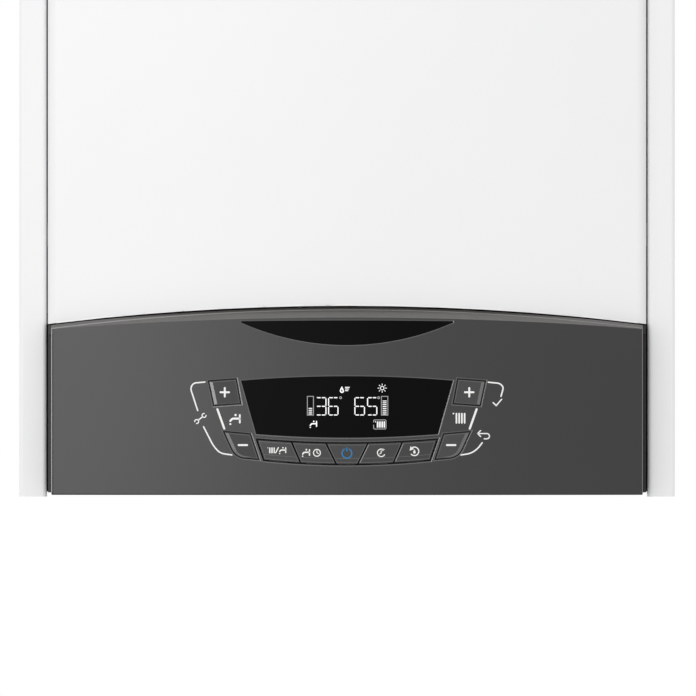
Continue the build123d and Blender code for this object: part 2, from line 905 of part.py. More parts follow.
def badge_inlay():
    """Crescent inlay seated in the fascia's pocket."""
    return between(badge_outline(), -badge_proud, badge_pocket - insert_gap)


def display_window():
    """Glass of the display, seated on the ledge of its opening."""
    outline = offset(display_outline(), -insert_gap)
    return between(outline, window_sink, window_sink + window_thickness - insert_gap)


def button_list():
    """Name, outline and stem place of the nine buttons."""
    buttons = []
    for hand, side in ((-1, "hot_water"), (1, "heating")):
        for end, outline, stem in (("plus", plus_outline, plus_stem), ("minus", minus_outline, minus_stem)):
            buttons.append((f"{side}_{end}_button", outline(hand), (hand * stem[0], stem[1]), True))
    for index, name in enumerate(row_names):
        x = (row_top_stops[index] + row_top_stops[index + 1]) / 2
        z = (row_top_middle + row_bottom_middle) / 2
        buttons.append((name, row_outline(index), (x, z), False))
    return buttons


def push_button(outline, stem, flanged):
    """Button cap that fills its opening, with a retaining flange behind the wall and a stem."""
    rear = casing_depth - button_thickness
    cap = prism(outline, casing_depth + cutter_reach, rear)
    cap &= fascia_block(-button_proud, rear - cutter_reach)
    front = [face for face in cap.faces() if face.center().Y < -casing_depth + fascia_wall]
    cap = chamfer(max(front, key=lambda face: face.area).edges(), button_chamfer)
    if flanged:
        wide = offset(outline, button_gap + button_flange)
    else:
        box = outline.bounding_box()
        middle = (box.min.X + box.max.X) / 2
        tab_low, tab_high = box.min.Y - button_gap - button_flange, box.min.Y + row_tab_overlap
        wide = Pos(middle, (tab_low + tab_high) / 2) * Rectangle(row_tab_width, tab_high - tab_low)
    reach = max(abs(vertex.X) for vertex in wide.vertices())
    seat = casing_depth - fascia_wall - crown_rise(reach, fascia_half, fascia_crown) - seat_gap
    cap += prism(wide, seat, seat - button_flange_thickness)
    x, z = stem
    tip = board_front + switch_height + button_travel + stem_gap
    return cap + rod_y(x, z, -rear - 1, -tip, stem_radius)


def display_board():
    """Board behind the fascia with a switch under each button and the display module."""
    rear = board_front - board_thickness
    board = block(-board_half, board_half, -board_front, -rear, board_bottom, board_top)
    for _, _, (x, z), _ in button_list():
        reach = switch_side / 2
        switch_front = -board_front - switch_height
        board += block(x - reach, x + reach, switch_front, -board_front, z - reach, z + reach)
    module_front = board_front + module_thickness
    board += block(-module_half, module_half, -module_front, -board_front, module_bottom, module_top)
    return board


def control_box():
    """Box behind the fascia that tilts with it, with a front rim, board posts and hinge pins."""
    outer = block(-box_half, box_half, -box_front, -box_back, box_bottom, box_top)
    inner = block(
        -box_half + box_wall, box_half - box_wall, -box_front + box_wall, -box_back - box_wall,
        box_bottom + box_wall, box_top - box_wall,
    )
    mouth = block(
        -box_half + box_rim, box_half - box_rim, -box_front - 1, -box_front + box_wall + 1,
        box_bottom + box_rim, box_top - box_rim,
    )
    box = outer - inner - mouth
    for hand in (-1, 1):
        x0, x1 = sorted((hand * (box_half - 1), hand * (box_half + hinge_pin_length)))
        box += rod_x(-hinge_depth, hinge_height, x0, x1, hinge_pin_radius)
    post_tip = -box_back - box_wall - main_post_length
    for x in (-main_post_x, main_post_x):
        for z in main_post_levels:
            box += rod_y(x, z, post_tip, -box_back - 1, main_post_radius)
    return box


def component(face, place, size):
    """Box standing on a board's front face, from its lower left corner and its size."""
    x, z = place
    width, depth, height = size
    return block(x, x + width, -face - depth, -face, z, z + height)


def main_board():
    """Control board on the posts of the box, with its transformer, relays and terminal blocks."""
    back = box_back + box_wall + main_post_length
    front = back + board_thickness
    board = block(-main_board_half, main_board_half, -front, -back, main_board_bottom, main_board_top)
    board += component(front, transformer_place, transformer_size)
    for index in range(relay_count):
        x, z = relay_place
        board += component(front, (x + relay_pitch * index, z), relay_size)
    for index in range(terminal_count):
        x, z = terminal_place
        board += component(front, (x + terminal_pitch * index, z), terminal_size)
    return board + rod_y(*capacitor_place, -front - capacitor_length, -front, capacitor_radius)


# ---------------------------------------------------------------- flue
def flue_adaptor():
    """Concentric adaptor on the top panel: air socket outside, flue socket inside."""
    base = casing_height
    y = -flue_setback
    socket = flue_duct_radius + seat_gap
    skirt = base - adaptor_skirt
    adaptor = rod_z(0, y, base, base + adaptor_flange, adaptor_flange_radius)
    adaptor += rod_z(0, y, base, socket_top, air_socket_radius + air_socket_wall)
    adaptor -= rod_z(0, y, base + adaptor_flange, socket_top + 1, air_socket_radius)
    adaptor += rod_z(0, y, skirt, socket_top, socket + flue_socket_wall)
    adaptor -= rod_z(0, y, skirt - 1, socket_floor, duct_seat_radius)
    adaptor -= rod_z(0, y, socket_floor, socket_top + 1, socket)
    for x in (-test_point_offset, test_point_offset):
        adaptor += rod_z(x, y, base + adaptor_flange - 1, base + test_point_height, test_point_radius)
    return adaptor


def flue_test_caps():
    """Screw caps on the two sampling points."""
    caps = []
    low = casing_height + test_point_height
    high = low + test_cap_height
    reach = test_point_radius + 1
    y0, y1 = -flue_setback - test_slot_width / 2, -flue_setback + test_slot_width / 2
    for x in (-test_point_offset, test_point_offset):
        cap = rod_z(x, -flue_setback, low, high, test_point_radius)
        caps.append(cap - block(x - reach, x + reach, y0, y1, high - test_slot_depth, high + 1))
    return caps


def flue_duct():
    """Flue pipe between the heat exchanger's socket and the adaptor."""
    inner = flue_duct_radius - flue_duct_wall
    return ring_z(0, -flue_setback, duct_start, duct_end, flue_duct_radius, inner)


# ---------------------------------------------------------------- heat exchanger and burner
def heat_exchanger():
    """Round shell on three feet, with its front flange, flue socket and water and waste spigots."""
    x, z = exchanger_x, exchanger_height
    shell = rod_y(x, z, -exchanger_front, -exchanger_back, exchanger_radius)
    flange_back = -exchanger_front + exchanger_flange_depth
    shell += rod_y(x, z, -exchanger_front, flange_back, exchanger_radius + exchanger_flange)
    seat_top = duct_start + duct_seat_depth
    shell += rod_z(0, -flue_setback, z, seat_top, duct_seat_radius + duct_seat_wall)
    spigots = (
        (flow_spigot_x, spigot_y, spigot_radius),
        (return_spigot_x, spigot_y, spigot_radius),
        (waste_spigot_x, waste_spigot_y, hose_radius),
    )
    for spigot_x, y, radius in spigots:
        shell += rod_z(spigot_x, y, spigot_end, z, radius)
    for angle in exchanger_foot_angles:
        foot_x = x + exchanger_foot_circle * cos(radians(angle))
        foot_z = z + exchanger_foot_circle * sin(radians(angle))
        shell += rod_y(foot_x, foot_z, -exchanger_back - 1, -rear_frame_depth, exchanger_foot_radius)
    shell -= rod_z(0, -flue_setback, duct_start, seat_top + 1, duct_seat_radius)
    shell -= rod_z(0, -flue_setback, z, duct_start + 1, flue_duct_radius - flue_duct_wall)
    for spigot_x, y, radius in spigots:
        shell -= rod_z(spigot_x, y, spigot_end - 1, z, radius - spigot_wall)
    inner_back = -exchanger_back - exchanger_wall
    shell -= rod_y(x, z, -exchanger_front - 1, inner_back, exchanger_radius - exchanger_wall)
    for nut_x, nut_z in door_nut_places():
        hole = door_stud_radius + door_stud_gap
        shell -= rod_y(nut_x, nut_z, -exchanger_front - 1, flange_back + 1, hole)
    return shell


def door_nut_places():
    """Centres of the nuts round the burner door."""
    step = 2 * pi / door_nut_count
    angles = [step / 2 + index * step for index in range(door_nut_count)]
    return [
        (exchanger_x + door_nut_circle * cos(angle), exchanger_height + door_nut_circle * sin(angle))
        for angle in angles
    ]


def heat_exchanger_coil():
    """Stack of flattened turns inside the shell, joined along their inside."""
    outer = exchanger_radius - exchanger_wall - seat_gap
    back = exchanger_back + exchanger_wall + coil_back_gap
    front = exchanger_front - insulation_thickness - coil_front_gap
    pitch = (front - back) / coil_turns
    turns = Pos(coil_inner + coil_web / 2, -(front + back) / 2) * Rectangle(coil_web, front - back)
    for index in range(coil_turns):
        y = -back - pitch * (index + 0.5)
        turns += Pos((coil_inner + outer) / 2, y) * SlotOverall(outer - coil_inner, pitch - coil_turn_gap)
    ring = revolve(turns, axis=Axis.Y)
    return Pos(exchanger_x, 0, exchanger_height) * ring


def burner_door():
    """Round cast door with a central gas and air inlet."""
    x, z = exchanger_x, exchanger_height
    radius = exchanger_radius + exchanger_flange
    door = rod_y(x, z, -door_front, -exchanger_front, radius)
    door -= rod_y(x, z, -door_front - 1, -exchanger_front + 1, door_inlet_radius)
    for nut_x, nut_z in door_nut_places():
        door -= rod_y(nut_x, nut_z, -door_front - 1, -exchanger_front + 1, door_stud_radius + door_stud_gap)
    for pin_x, pin_z in electrode_places():
        door -= rod_y(pin_x, pin_z, -door_front - 1, -exchanger_front + 1, ceramic_radius + seat_gap)
    return door


def door_nuts():
    """Studs and nuts that close the burner door."""
    nuts = []
    back = -exchanger_front + exchanger_flange_depth
    for x, z in door_nut_places():
        nut = hexagon_y(x, z, -door_front - door_nut_height, -door_front, door_nut_across)
        nuts.append(nut + rod_y(x, z, -door_front - door_stud_end, back, door_stud_radius))
    return nuts


def burner_tube():
    """Perforated burner can on the back of the door, closed at its far end."""
    x, z = exchanger_x, exchanger_height
    back = -exchanger_front + burner_length
    can = rod_y(x, z, -exchanger_front, back, burner_radius)
    can -= rod_y(x, z, -exchanger_front - 1, back - burner_wall, burner_radius - burner_wall)
    return can


def door_insulation():
    """Ceramic ring behind the door, round the burner."""
    x, z = exchanger_x, exchanger_height
    back = -exchanger_front + insulation_thickness
    ring = rod_y(x, z, -exchanger_front, back, insulation_outer)
    ring -= rod_y(x, z, -exchanger_front - 1, back + 1, insulation_inner)
    for pin_x, pin_z in electrode_places():
        ring -= rod_y(pin_x, pin_z, -exchanger_front - 1, back + 1, ceramic_radius + seat_gap)
    return ring


def electrode_places():
    """Centres of the ignition and the flame-sensing electrode, below the inlet."""
    drop = sqrt(electrode_circle**2 - electrode_spread**2)
    return [(exchanger_x + side * electrode_spread, exchanger_height - drop) for side in (-1, 1)]


def ignition_electrodes():
    """Ceramic electrodes through the door, each on its mounting plate."""
    pins = []
    wide, high = electrode_plate_width / 2, electrode_plate_height / 2
    for x, z in electrode_places():
        plate = block(x - wide, x + wide, -door_front - electrode_plate, -door_front, z - high, z + high)
        ceramic = rod_y(x, z, -door_front - ceramic_front, -exchanger_front + ceramic_back, ceramic_radius)
        front, back = -door_front - electrode_front, -exchanger_front + electrode_back
        pins.append(plate + ceramic + rod_y(x, z, front, back, electrode_radius))
    return pins


# ---------------------------------------------------------------- fan, mixer, silencer, gas valve
def fan_housing():
    """Round blower housing with an upward outlet and a rear inlet."""
    wall = fan_wall
    left, right = fan_outlet_left, fan_outlet_right
    housing = rod_y(fan_x, fan_height, -fan_front, -fan_back, fan_radius)
    housing += block(left, right, -fan_front, -fan_back, fan_height, fan_outlet_top)
    housing -= rod_y(fan_x, fan_height, -fan_front + wall, -fan_back - wall, fan_radius - wall)
    housing -= block(
        left + wall, right - wall, -fan_front + wall, -fan_back - wall, fan_height, fan_outlet_top + 1
    )
    housing -= rod_y(fan_x, fan_height, -fan_back - wall - 1, -fan_back + 1, fan_inlet_radius)
    hole = impeller_shaft_radius + shaft_hole_gap
    return housing - rod_y(fan_x, fan_height, -fan_front - 1, -fan_front + wall + 1, hole)


def fan_impeller():
    """Bladed wheel with its shaft running into the motor."""
    front = -fan_front + fan_wall + impeller_front_gap
    back = -fan_back - fan_wall - impeller_back_gap
    wheel = rod_y(fan_x, fan_height, front, front + impeller_disc, impeller_radius)
    wheel += rod_y(fan_x, fan_height, front, front + impeller_hub_length, impeller_hub_radius)
    for index in range(impeller_blades):
        turn = Pos(fan_x, 0, fan_height) * Rot(0, 360 / impeller_blades * index, 0)
        edge = impeller_blade / 2
        wheel += turn * block(impeller_blade_root, impeller_radius, front, back, -edge, edge)
    shaft_front = -fan_front - fan_motor_length + fan_shaft_gap
    return wheel + rod_y(fan_x, fan_height, shaft_front, front + 1, impeller_shaft_radius)


def fan_motor():
    """Motor can on the front of the fan, bored for the shaft."""
    front = -fan_front - fan_motor_length
    motor = rod_y(fan_x, fan_height, front, -fan_front, fan_motor_radius)
    motor = chamfer(motor.faces().sort_by(Axis.Y)[0].edges(), fan_motor_chamfer)
    bore = impeller_shaft_radius + running_gap
    return motor - rod_y(fan_x, fan_height, front + fan_motor_cap, -fan_front + 1, bore)


def mixer_duct():
    """Cast duct that carries the gas and air mixture from the fan to the burner door."""
    wall = mixer_wall
    left, right = fan_outlet_left, fan_outlet_right
    low, high = exchanger_height - mixer_half, exchanger_height + mixer_half

    def hull(inset):
        riser = block(
            left + inset, right - inset, -fan_front + inset, -exchanger_front - inset,
            fan_outlet_top - (1 if inset else 0), high - inset,
        )
        arm = block(
            left + inset, exchanger_x, -fan_front + inset, -door_front - inset, low + inset, high - inset
        )
        front, back = -fan_front + inset, -door_front - inset
        return riser + arm + rod_y(exchanger_x, exchanger_height, front, back, mixer_half - inset)

    duct = hull(0) - hull(wall)
    duct -= rod_y(exchanger_x, exchanger_height, -door_front - wall - 1, -door_front + 1, mixer_half - wall)
    return duct


def air_silencer():
    """Hollow air box on the left side panel, with a snorkel down to the fan's rear inlet."""
    left, right = -inner_half, -inner_half + silencer_width
    wall = silencer_wall
    box = block(left, right, -silencer_front, -silencer_back, silencer_bottom, silencer_top)
    upright = [edge for edge in box.edges().filter_by(Axis.Z) if edge.center().X > left + 1]
    box = fillet(upright, silencer_corner)
    top = (fan_x, snorkel_y, silencer_bottom + 1)
    points = [top, (fan_x, snorkel_y, fan_height), (fan_x, -fan_back, fan_height)]
    path = FilletPolyline(*points, radius=snorkel_bend)
    start = Plane(origin=path @ 0, z_dir=path % 0)
    box += sweep(start * Circle(snorkel_radius), path=path)
    box += rod_z(fan_x, snorkel_y, gas_neck_top, fan_height, gas_neck_radius)
    box -= block(
        left + wall, right - wall, -silencer_front + wall, -silencer_back - wall,
        silencer_bottom + wall, silencer_top - wall,
    )
    box -= sweep(start * Circle(snorkel_radius - wall), path=path)
    box -= rod_z(fan_x, snorkel_y, silencer_bottom - 1, silencer_bottom + wall + 1, snorkel_radius - wall)
    box -= rod_z(fan_x, snorkel_y, gas_neck_top - 1, fan_height, gas_neck_bore)
    from_left, from_right, back, front = silencer_inlet
    low, high = silencer_top - wall - 1, silencer_top + 1
    return box - block(left + from_left, right - from_right, -front, -back, low, high)


def gas_valve():
    """Cast gas valve with two solenoids on its front and a neck up to the mixing point."""
    left, right = fan_x - gas_valve_half, fan_x + gas_valve_half
    y = snorkel_y
    back, front = y + gas_valve_depth / 2, y - gas_valve_depth / 2
    valve = block(left, right, front, back, gas_valve_bottom, gas_valve_top)
    valve = fillet(valve.edges().filter_by(Axis.Y), gas_valve_corner)
    level = (gas_valve_bottom + gas_valve_top) / 2 + solenoid_rise
    for x in (fan_x - solenoid_offset, fan_x + solenoid_offset):
        valve += rod_y(x, level, front - solenoid_length, front, solenoid_radius)
    valve += rod_z(fan_x, y, gas_valve_top - 1, gas_neck_top, gas_neck_outer)
    valve += rod_z(fan_x, y, gas_valve_bottom - gas_inlet_length, gas_valve_bottom + 1, gas_inlet_radius)
    valve -= rod_z(fan_x, y, gas_valve_top - gas_neck_drop, gas_neck_top + 1, gas_neck_bore)
    return valve


# ---------------------------------------------------------------- hydraulics
def vessel_body(inset):
    """Solid of revolution bounded by the vessel's faces moved inwards by inset."""
    middle = -(vessel_back + vessel_front) / 2
    radius = vessel_radius - inset
    shoulder = radius - vessel_rim
    half_rim = vessel_rim_height / 2 - inset
    back, front = -vessel_back - inset, inset - vessel_front
    section = make_face(
        Polyline((0, front), (vessel_flat, front))
        + TangentArc((vessel_flat, front), (shoulder, middle - half_rim), tangent=(1, 0))
        + Polyline(
            (shoulder, middle - half_rim), (radius, middle - half_rim), (radius, middle + half_rim),
            (shoulder, middle + half_rim),
        )
        + TangentArc((vessel_flat, back), (shoulder, middle + half_rim), tangent=(1, 0))
        + Polyline((vessel_flat, back), (0, back), (0, front))
    )
    return Pos(0, 0, vessel_height) * revolve(section, axis=Axis.Y)


def expansion_vessel():
    """Flat round steel vessel: two dished halves joined at a rim, with a nipple on its front."""
    x, z = vessel_nipple_x, vessel_nipple_z
    front, root = -vessel_nipple_front, -vessel_front + 2 * vessel_nipple_length
    vessel = vessel_body(0) - vessel_body(vessel_wall)
    nipple = rod_y(x, z, front, root, hose_radius) - vessel_body(vessel_wall / 2)
    return vessel + nipple - rod_y(x, z, front - 1, root + 1, hose_radius - hose_wall)


def plate_heat_exchanger():
    """Brazed stack of thin plates between the two hydraulic blocks."""
    back, front = plate_back, block_back
    side, low, high = plate_half - plate_inset, plate_bottom + plate_inset, plate_top - plate_inset
    core = block(-side, side, -front + plate_end, -back - plate_end, low, high)
    pitch = (front - back) / plate_count
    thick = pitch * plate_share
    for index in range(plate_count):
        y = -back - pitch * (index + 0.5)
        core += block(-plate_half, plate_half, y - thick / 2, y + thick / 2, plate_bottom, plate_top)
    for y in (-front, -back - plate_end):
        core += block(-plate_half, plate_half, y, y + plate_end, plate_bottom, plate_top)
    return core


def hydraulic_block(sides):
    """Moulded block with rounded upright edges, standing on the tray."""
    left, right = sides
    body = block(left, right, -block_front, -block_back, tray_top, block_top)
    fronts = [edge for edge in body.edges().filter_by(Axis.Z) if edge.center().Y < -block_back - 1]
    return fillet(fronts, block_corner)


def diverter_block():
    """Left hydraulic block, bored for the diverter's piston and fitted with the filling tap's stub."""
    body = hydraulic_block(left_block)
    body -= rod_z(diverter_x, -tail_setback, diverter_bottom, block_top + 1, diverter_radius + running_gap)
    stub_end = tray_height - tap_stub_length
    body += rod_z(filling_x, filling_y, stub_end, tray_top + 2, tap_stub_radius)
    bore_top = tray_height + tap_bore_rise
    body -= rod_z(filling_x, filling_y, stub_end - 1, bore_top, knob_shaft_radius + running_gap)
    body += rod_z(flow_pipe_x, spigot_y, block_top - 1, block_top + flow_collar, copper_radius + flow_collar)
    return body


def diverter_spindle():
    """Piston and rod that switch the flow between heating and hot water."""
    low = diverter_bottom + diverter_start
    high = low + diverter_piston
    piston = rod_z(diverter_x, -tail_setback, low, high, diverter_radius)
    groove_low, groove_high = diverter_groove
    piston -= ring_z(
        diverter_x, -tail_setback, low + groove_low, low + groove_high,
        diverter_radius + 1, diverter_radius - diverter_groove_depth,
    )
    return piston + rod_z(diverter_x, -tail_setback, high - 1, diverter_rod_top, diverter_rod_radius)


def diverter_motor():
    """Actuator on the diverter, hollow round the rod."""
    motor = rod_z(diverter_x, -tail_setback, block_top, diverter_motor_top, diverter_motor_radius)
    motor = fillet(motor.faces().sort_by(Axis.Z)[-1].edges(), diverter_motor_corner)
    bore_top = diverter_rod_top + diverter_travel + diverter_end_gap
    motor -= rod_z(diverter_x, -tail_setback, block_top - 1, bore_top, diverter_rod_radius + running_gap)
    return motor


def pump_housing():
    """Right hydraulic block with the pump's volute, the flow sensor's chamber and the valve boss."""
    body = hydraulic_block(right_block)
    root = -block_front + pump_volute_root
    body += rod_y(pump_x, pump_height, -pump_volute_front, root, pump_volute_radius)
    room = pump_impeller_radius + pump_impeller_gap
    body -= rod_y(pump_x, pump_height, -pump_volute_front - 1, -block_front - pump_volute_floor, room)
    x, y = tail_spacing, -tail_setback
    low, high = turbine_level - turbine_chamber, turbine_level + turbine_chamber
    body -= rod_z(x, y, low, high, turbine_radius + turbine_chamber_gap)
    low, high = turbine_level - turbine_axle_room, turbine_level + turbine_axle_room
    body -= rod_z(x, y, low, high, turbine_axle_radius + running_gap)
    boss = -block_front - valve_boss_length
    body += rod_y(safety_x, safety_height, boss, -block_front + 2, valve_boss_radius)
    floor = -block_front - valve_boss_floor
    body -= rod_y(safety_x, safety_height, boss - 1, floor, knob_shaft_radius + running_gap)
    return body


def pump_motor():
    """Pump's motor on the front of the volute, bored for the impeller's shaft."""
    front = -pump_motor_front
    motor = rod_y(pump_x, pump_height, front, -pump_volute_front, pump_motor_radius)
    motor = chamfer(motor.faces().sort_by(Axis.Y)[0].edges(), pump_motor_chamfer)
    plug = -pump_volute_front - pump_plug
    motor += rod_y(pump_x, pump_height, plug, -pump_volute_front, pump_volute_radius)
    bore = impeller_shaft_radius + running_gap
    return motor - rod_y(pump_x, pump_height, front + pump_shaft_cap, -pump_volute_front + 1, bore)


def pump_impeller():
    """Pump wheel with its shaft."""
    front = -pump_volute_front + pump_wheel_gap
    wheel = rod_y(pump_x, pump_height, front, front + pump_disc, pump_impeller_radius)
    wheel += rod_y(pump_x, pump_height, front, front + pump_hub_length, pump_hub_radius)
    edge = pump_blade / 2
    for index in range(pump_blades):
        turn = Pos(pump_x, 0, pump_height) * Rot(0, 360 / pump_blades * index, 0)
        tip = pump_impeller_radius - 1
        wheel += turn * block(pump_blade_root, tip, front, front + pump_blade_length, -edge, edge)
    shaft_front = -pump_motor_front + pump_shaft_cap + pump_shaft_gap
    return wheel + rod_y(pump_x, pump_height, shaft_front, front + 1, impeller_shaft_radius)


def flow_turbine():
    """Small turbine wheel that senses the hot water flow, on a vertical axle."""
    x, y = tail_spacing, -tail_setback
    low = turbine_level - turbine_height / 2
    wheel = rod_z(x, y, low, low + turbine_height, turbine_hub_radius)
    span = 2 * (turbine_radius - turbine_blade_inset)
    for angle in (0, 90):
        turn = Pos(x, y, turbine_level) * Rot(0, 0, angle) * Rot(turbine_pitch, 0, 0)
        wheel += turn * Box(span, turbine_blade, turbine_blade_height)
    low, high = turbine_level - turbine_axle_half, turbine_level + turbine_axle_half
    return wheel + rod_z(x, y, low, high, turbine_axle_radius)


def air_vent():
    """Automatic air vent on top of the right block."""
    top = block_top + vent_height
    vent = rod_z(vent_x, vent_y, block_top, top, vent_radius)
    vent = fillet(vent.faces().sort_by(Axis.Z)[-1].edges(), vent_corner)
    return vent + rod_z(vent_x, vent_y, top - 1, top + vent_cap_height, vent_cap_radius)


def turn_knob(radius, length, ribs):
    """Ribbed hand knob along +Z, standing on z = 0."""
    core = radius - knob_rib_rise
    knob = Cylinder(core, length, align=(Align.CENTER, Align.CENTER, Align.MIN))
    for index in range(ribs):
        place = Pos(radius - knob_rib / 2, 0, length / 2)
        knob += Rot(0, 0, 360 / ribs * index) * place * Box(knob_rib, knob_rib, length)
    return chamfer(knob.faces().sort_by(Axis.Z)[-1].edges(), knob_chamfer)


def safety_valve_knob():
    """Test knob of the safety valve, on its spindle."""
    boss = -block_front - valve_boss_length
    place = Pos(safety_x, boss - seat_gap, safety_height) * Rot(90, 0, 0)
    knob = place * turn_knob(knob_radius, knob_length, knob_ribs)
    shaft_end = -block_front - knob_shaft_depth
    return knob + rod_y(safety_x, safety_height, boss - 1, shaft_end, knob_shaft_radius)


def filling_knob():
    """Knob of the filling tap under the tray, on its spindle."""
    stub_end = tray_height - tap_stub_length
    place = Pos(filling_x, filling_y, stub_end - seat_gap) * Rot(180, 0, 0)
    knob = place * turn_knob(tap_knob_radius, tap_knob_length, tap_knob_ribs)
    return knob + rod_z(filling_x, filling_y, stub_end - 1, tray_height + tap_shaft_rise, knob_shaft_radius)


def condensate_trap():
    """Bottle trap on the tray, with its outlet and lock nut below and its hose spigot above."""
    spigot_top, outlet_end = trap_top + trap_spigot, tray_height - waste_length
    floor, ceiling = tray_top + trap_wall, trap_top - trap_cap
    trap = rod_z(trap_x, trap_y, tray_top, trap_top, trap_radius)
    trap = fillet(trap.faces().sort_by(Axis.Z)[-1].edges(), trap_corner)
    trap += rod_z(trap_x, trap_y, trap_top - 1, spigot_top, hose_radius)
    trap += rod_z(trap_x, trap_y, outlet_end, tray_top + 1, waste_radius)
    trap += hexagon_z(trap_x, trap_y, tray_height - waste_nut_height, tray_height, waste_nut_across)
    trap -= rod_z(trap_x, trap_y, floor, ceiling, trap_radius - trap_wall)
    trap -= rod_z(trap_x, trap_y, outlet_end - 1, floor + 1, waste_radius - waste_wall)
    return trap - rod_z(trap_x, trap_y, ceiling - 1, spigot_top + 1, hose_radius - hose_wall)


def pipe_tails():
    """Threaded brass tails with their nuts under the tray."""
    tails = []
    for index, x in enumerate(tail_positions()):
        radius = tail_radius(index)
        tail = rod_z(x, -tail_setback, tail_bottom, tray_top, radius)
        tail += hexagon_z(x, -tail_setback, tray_height - tail_nut_height, tray_height, tail_nut_across)
        tail -= rod_z(x, -tail_setback, tail_bottom - 1, tray_top + 1, radius - tail_wall)
        tails.append(tail)
    return tails


def cable_glands():
    """Cable glands for the mains and the room controls, clamped in the tray."""
    glands = []
    low, high = tray_height - gland_below, tray_top + gland_above
    for x in gland_x:
        gland = rod_z(x, gland_y, low, high, gland_radius)
        gland += hexagon_z(x, gland_y, tray_height - gland_nut_below, tray_height, gland_across)
        gland += hexagon_z(x, gland_y, tray_top, tray_top + gland_nut_above, gland_across)
        glands.append(gland - rod_z(x, gland_y, low - 1, high + 1, cable_hole_radius))
    return glands


def copper_pipes():
    """Flow, return and gas pipes."""
    flow_x, return_x, y = flow_spigot_x, return_spigot_x, spigot_y
    start = block_top + flow_collar
    low, high = [block_top + rise for rise in flow_turn_levels]
    flow = [(flow_pipe_x, y, start), (flow_pipe_x, y, low), (flow_x, y, high), (flow_x, y, spigot_end)]
    low, middle, high = [block_top + rise for rise in return_turn_levels]
    jog = (return_x - return_jog_x, y - return_jog_y, middle)
    start, end = (return_x, y, block_top), (return_x, y, spigot_end)
    back = [start, (return_x, y, low), jog, (return_x, y, high), end]
    y, inlet = -tail_setback, gas_valve_bottom - gas_inlet_length
    low, high = tray_top + gas_turn_levels[0], gas_valve_bottom - gas_turn_levels[1]
    gas = [(0, y, tray_top), (0, y, low), (fan_x, snorkel_y, high), (fan_x, snorkel_y, inlet)]
    return [
        pipe(flow, pipe_bend, copper_radius, pipe_wall),
        pipe(back, pipe_bend, copper_radius, pipe_wall),
        pipe(gas, pipe_bend, gas_pipe_radius, pipe_wall),
    ]


def flexible_hoses():
    """Vessel hose and waste hose."""
    x, z, start = vessel_nipple_x, vessel_nipple_z, -vessel_nipple_front
    drop = start - vessel_hose_reach
    vessel = [(x, start, z), (x, drop, z), (x, drop, block_top)]
    x, y = waste_spigot_x, waste_spigot_y
    low, high = trap_top + waste_turn_levels[1], spigot_end - waste_turn_levels[0]
    end = (trap_x, trap_y, trap_top + trap_spigot)
    waste = [(x, y, spigot_end), (x, y, high), (trap_x, trap_y, low), end]
    return [
        pipe(vessel, hose_bend, hose_radius, hose_wall),
        pipe(waste, waste_bend, hose_radius, hose_wall),
    ]


# ---------------------------------------------------------------- writing the pieces
def pieces():
    """Every node's name and its solid or group of solids."""
    nodes = {
        "wall_bracket": wall_bracket(),
        "back_frame": back_frame(),
        "left_side_panel": side_panel(-1),
        "right_side_panel": side_panel(1),
        "top_panel": top_panel(),
        "bottom_tray": bottom_tray(),
        "casing_screws": casing_screws(),
        "hinge_brackets": hinge_brackets(),
        "cover_clips": cover_clips(),
        "front_cover": front_cover(),
        "cover_studs": cover_studs(),
        "fascia": fascia(),
        "badge_inlay": badge_inlay(),
        "display_window": display_window(),
        "display_board": display_board(),
        "control_box": control_box(),
        "main_board": main_board(),
        "flue_adaptor": flue_adaptor(),
        "flue_test_caps": flue_test_caps(),
        "flue_duct": flue_duct(),
        "heat_exchanger": heat_exchanger(),
        "heat_exchanger_coil": heat_exchanger_coil(),
        "burner_door": burner_door(),
        "door_nuts": door_nuts(),
        "burner_tube": burner_tube(),
        "door_insulation": door_insulation(),
        "ignition_electrodes": ignition_electrodes(),
        "fan_housing": fan_housing(),
        "fan_impeller": fan_impeller(),
        "fan_motor": fan_motor(),
        "mixer_duct": mixer_duct(),
        "air_silencer": air_silencer(),
        "gas_valve": gas_valve(),
        "expansion_vessel": expansion_vessel(),
        "plate_heat_exchanger": plate_heat_exchanger(),
        "diverter_block": diverter_block(),
        "diverter_spindle": diverter_spindle(),
        "diverter_motor": diverter_motor(),
        "pump_housing": pump_housing(),
        "pump_motor": pump_motor(),
        "pump_impeller": pump_impeller(),
        "flow_turbine": flow_turbine(),
        "air_vent": air_vent(),
        "safety_valve_knob": safety_valve_knob(),
        "filling_knob": filling_knob(),
        "condensate_trap": condensate_trap(),
        "pipe_tails": pipe_tails(),
        "cable_glands": cable_glands(),
        "copper_pipes": copper_pipes(),
        "flexible_hoses": flexible_hoses(),
    }
    for name, outline, stem, flanged in button_list():
        nodes[name] = push_button(outline, stem, flanged)
    return nodes


os.makedirs("parts", exist_ok=True)
for node, shape in pieces().items():
    members = shape if isinstance(shape, list) else [shape]
    place = Location((0, 0, -bracket_height))
    solids = [solid.moved(place) for member in members for solid in member.solids()]
    export_step(solids[0] if len(solids) == 1 else Compound(solids), f"parts/{node}.step")
    print(node, len(solids), "solids")
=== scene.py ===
import json
from math import copysign, cos, pi, radians, sin, sqrt, tan

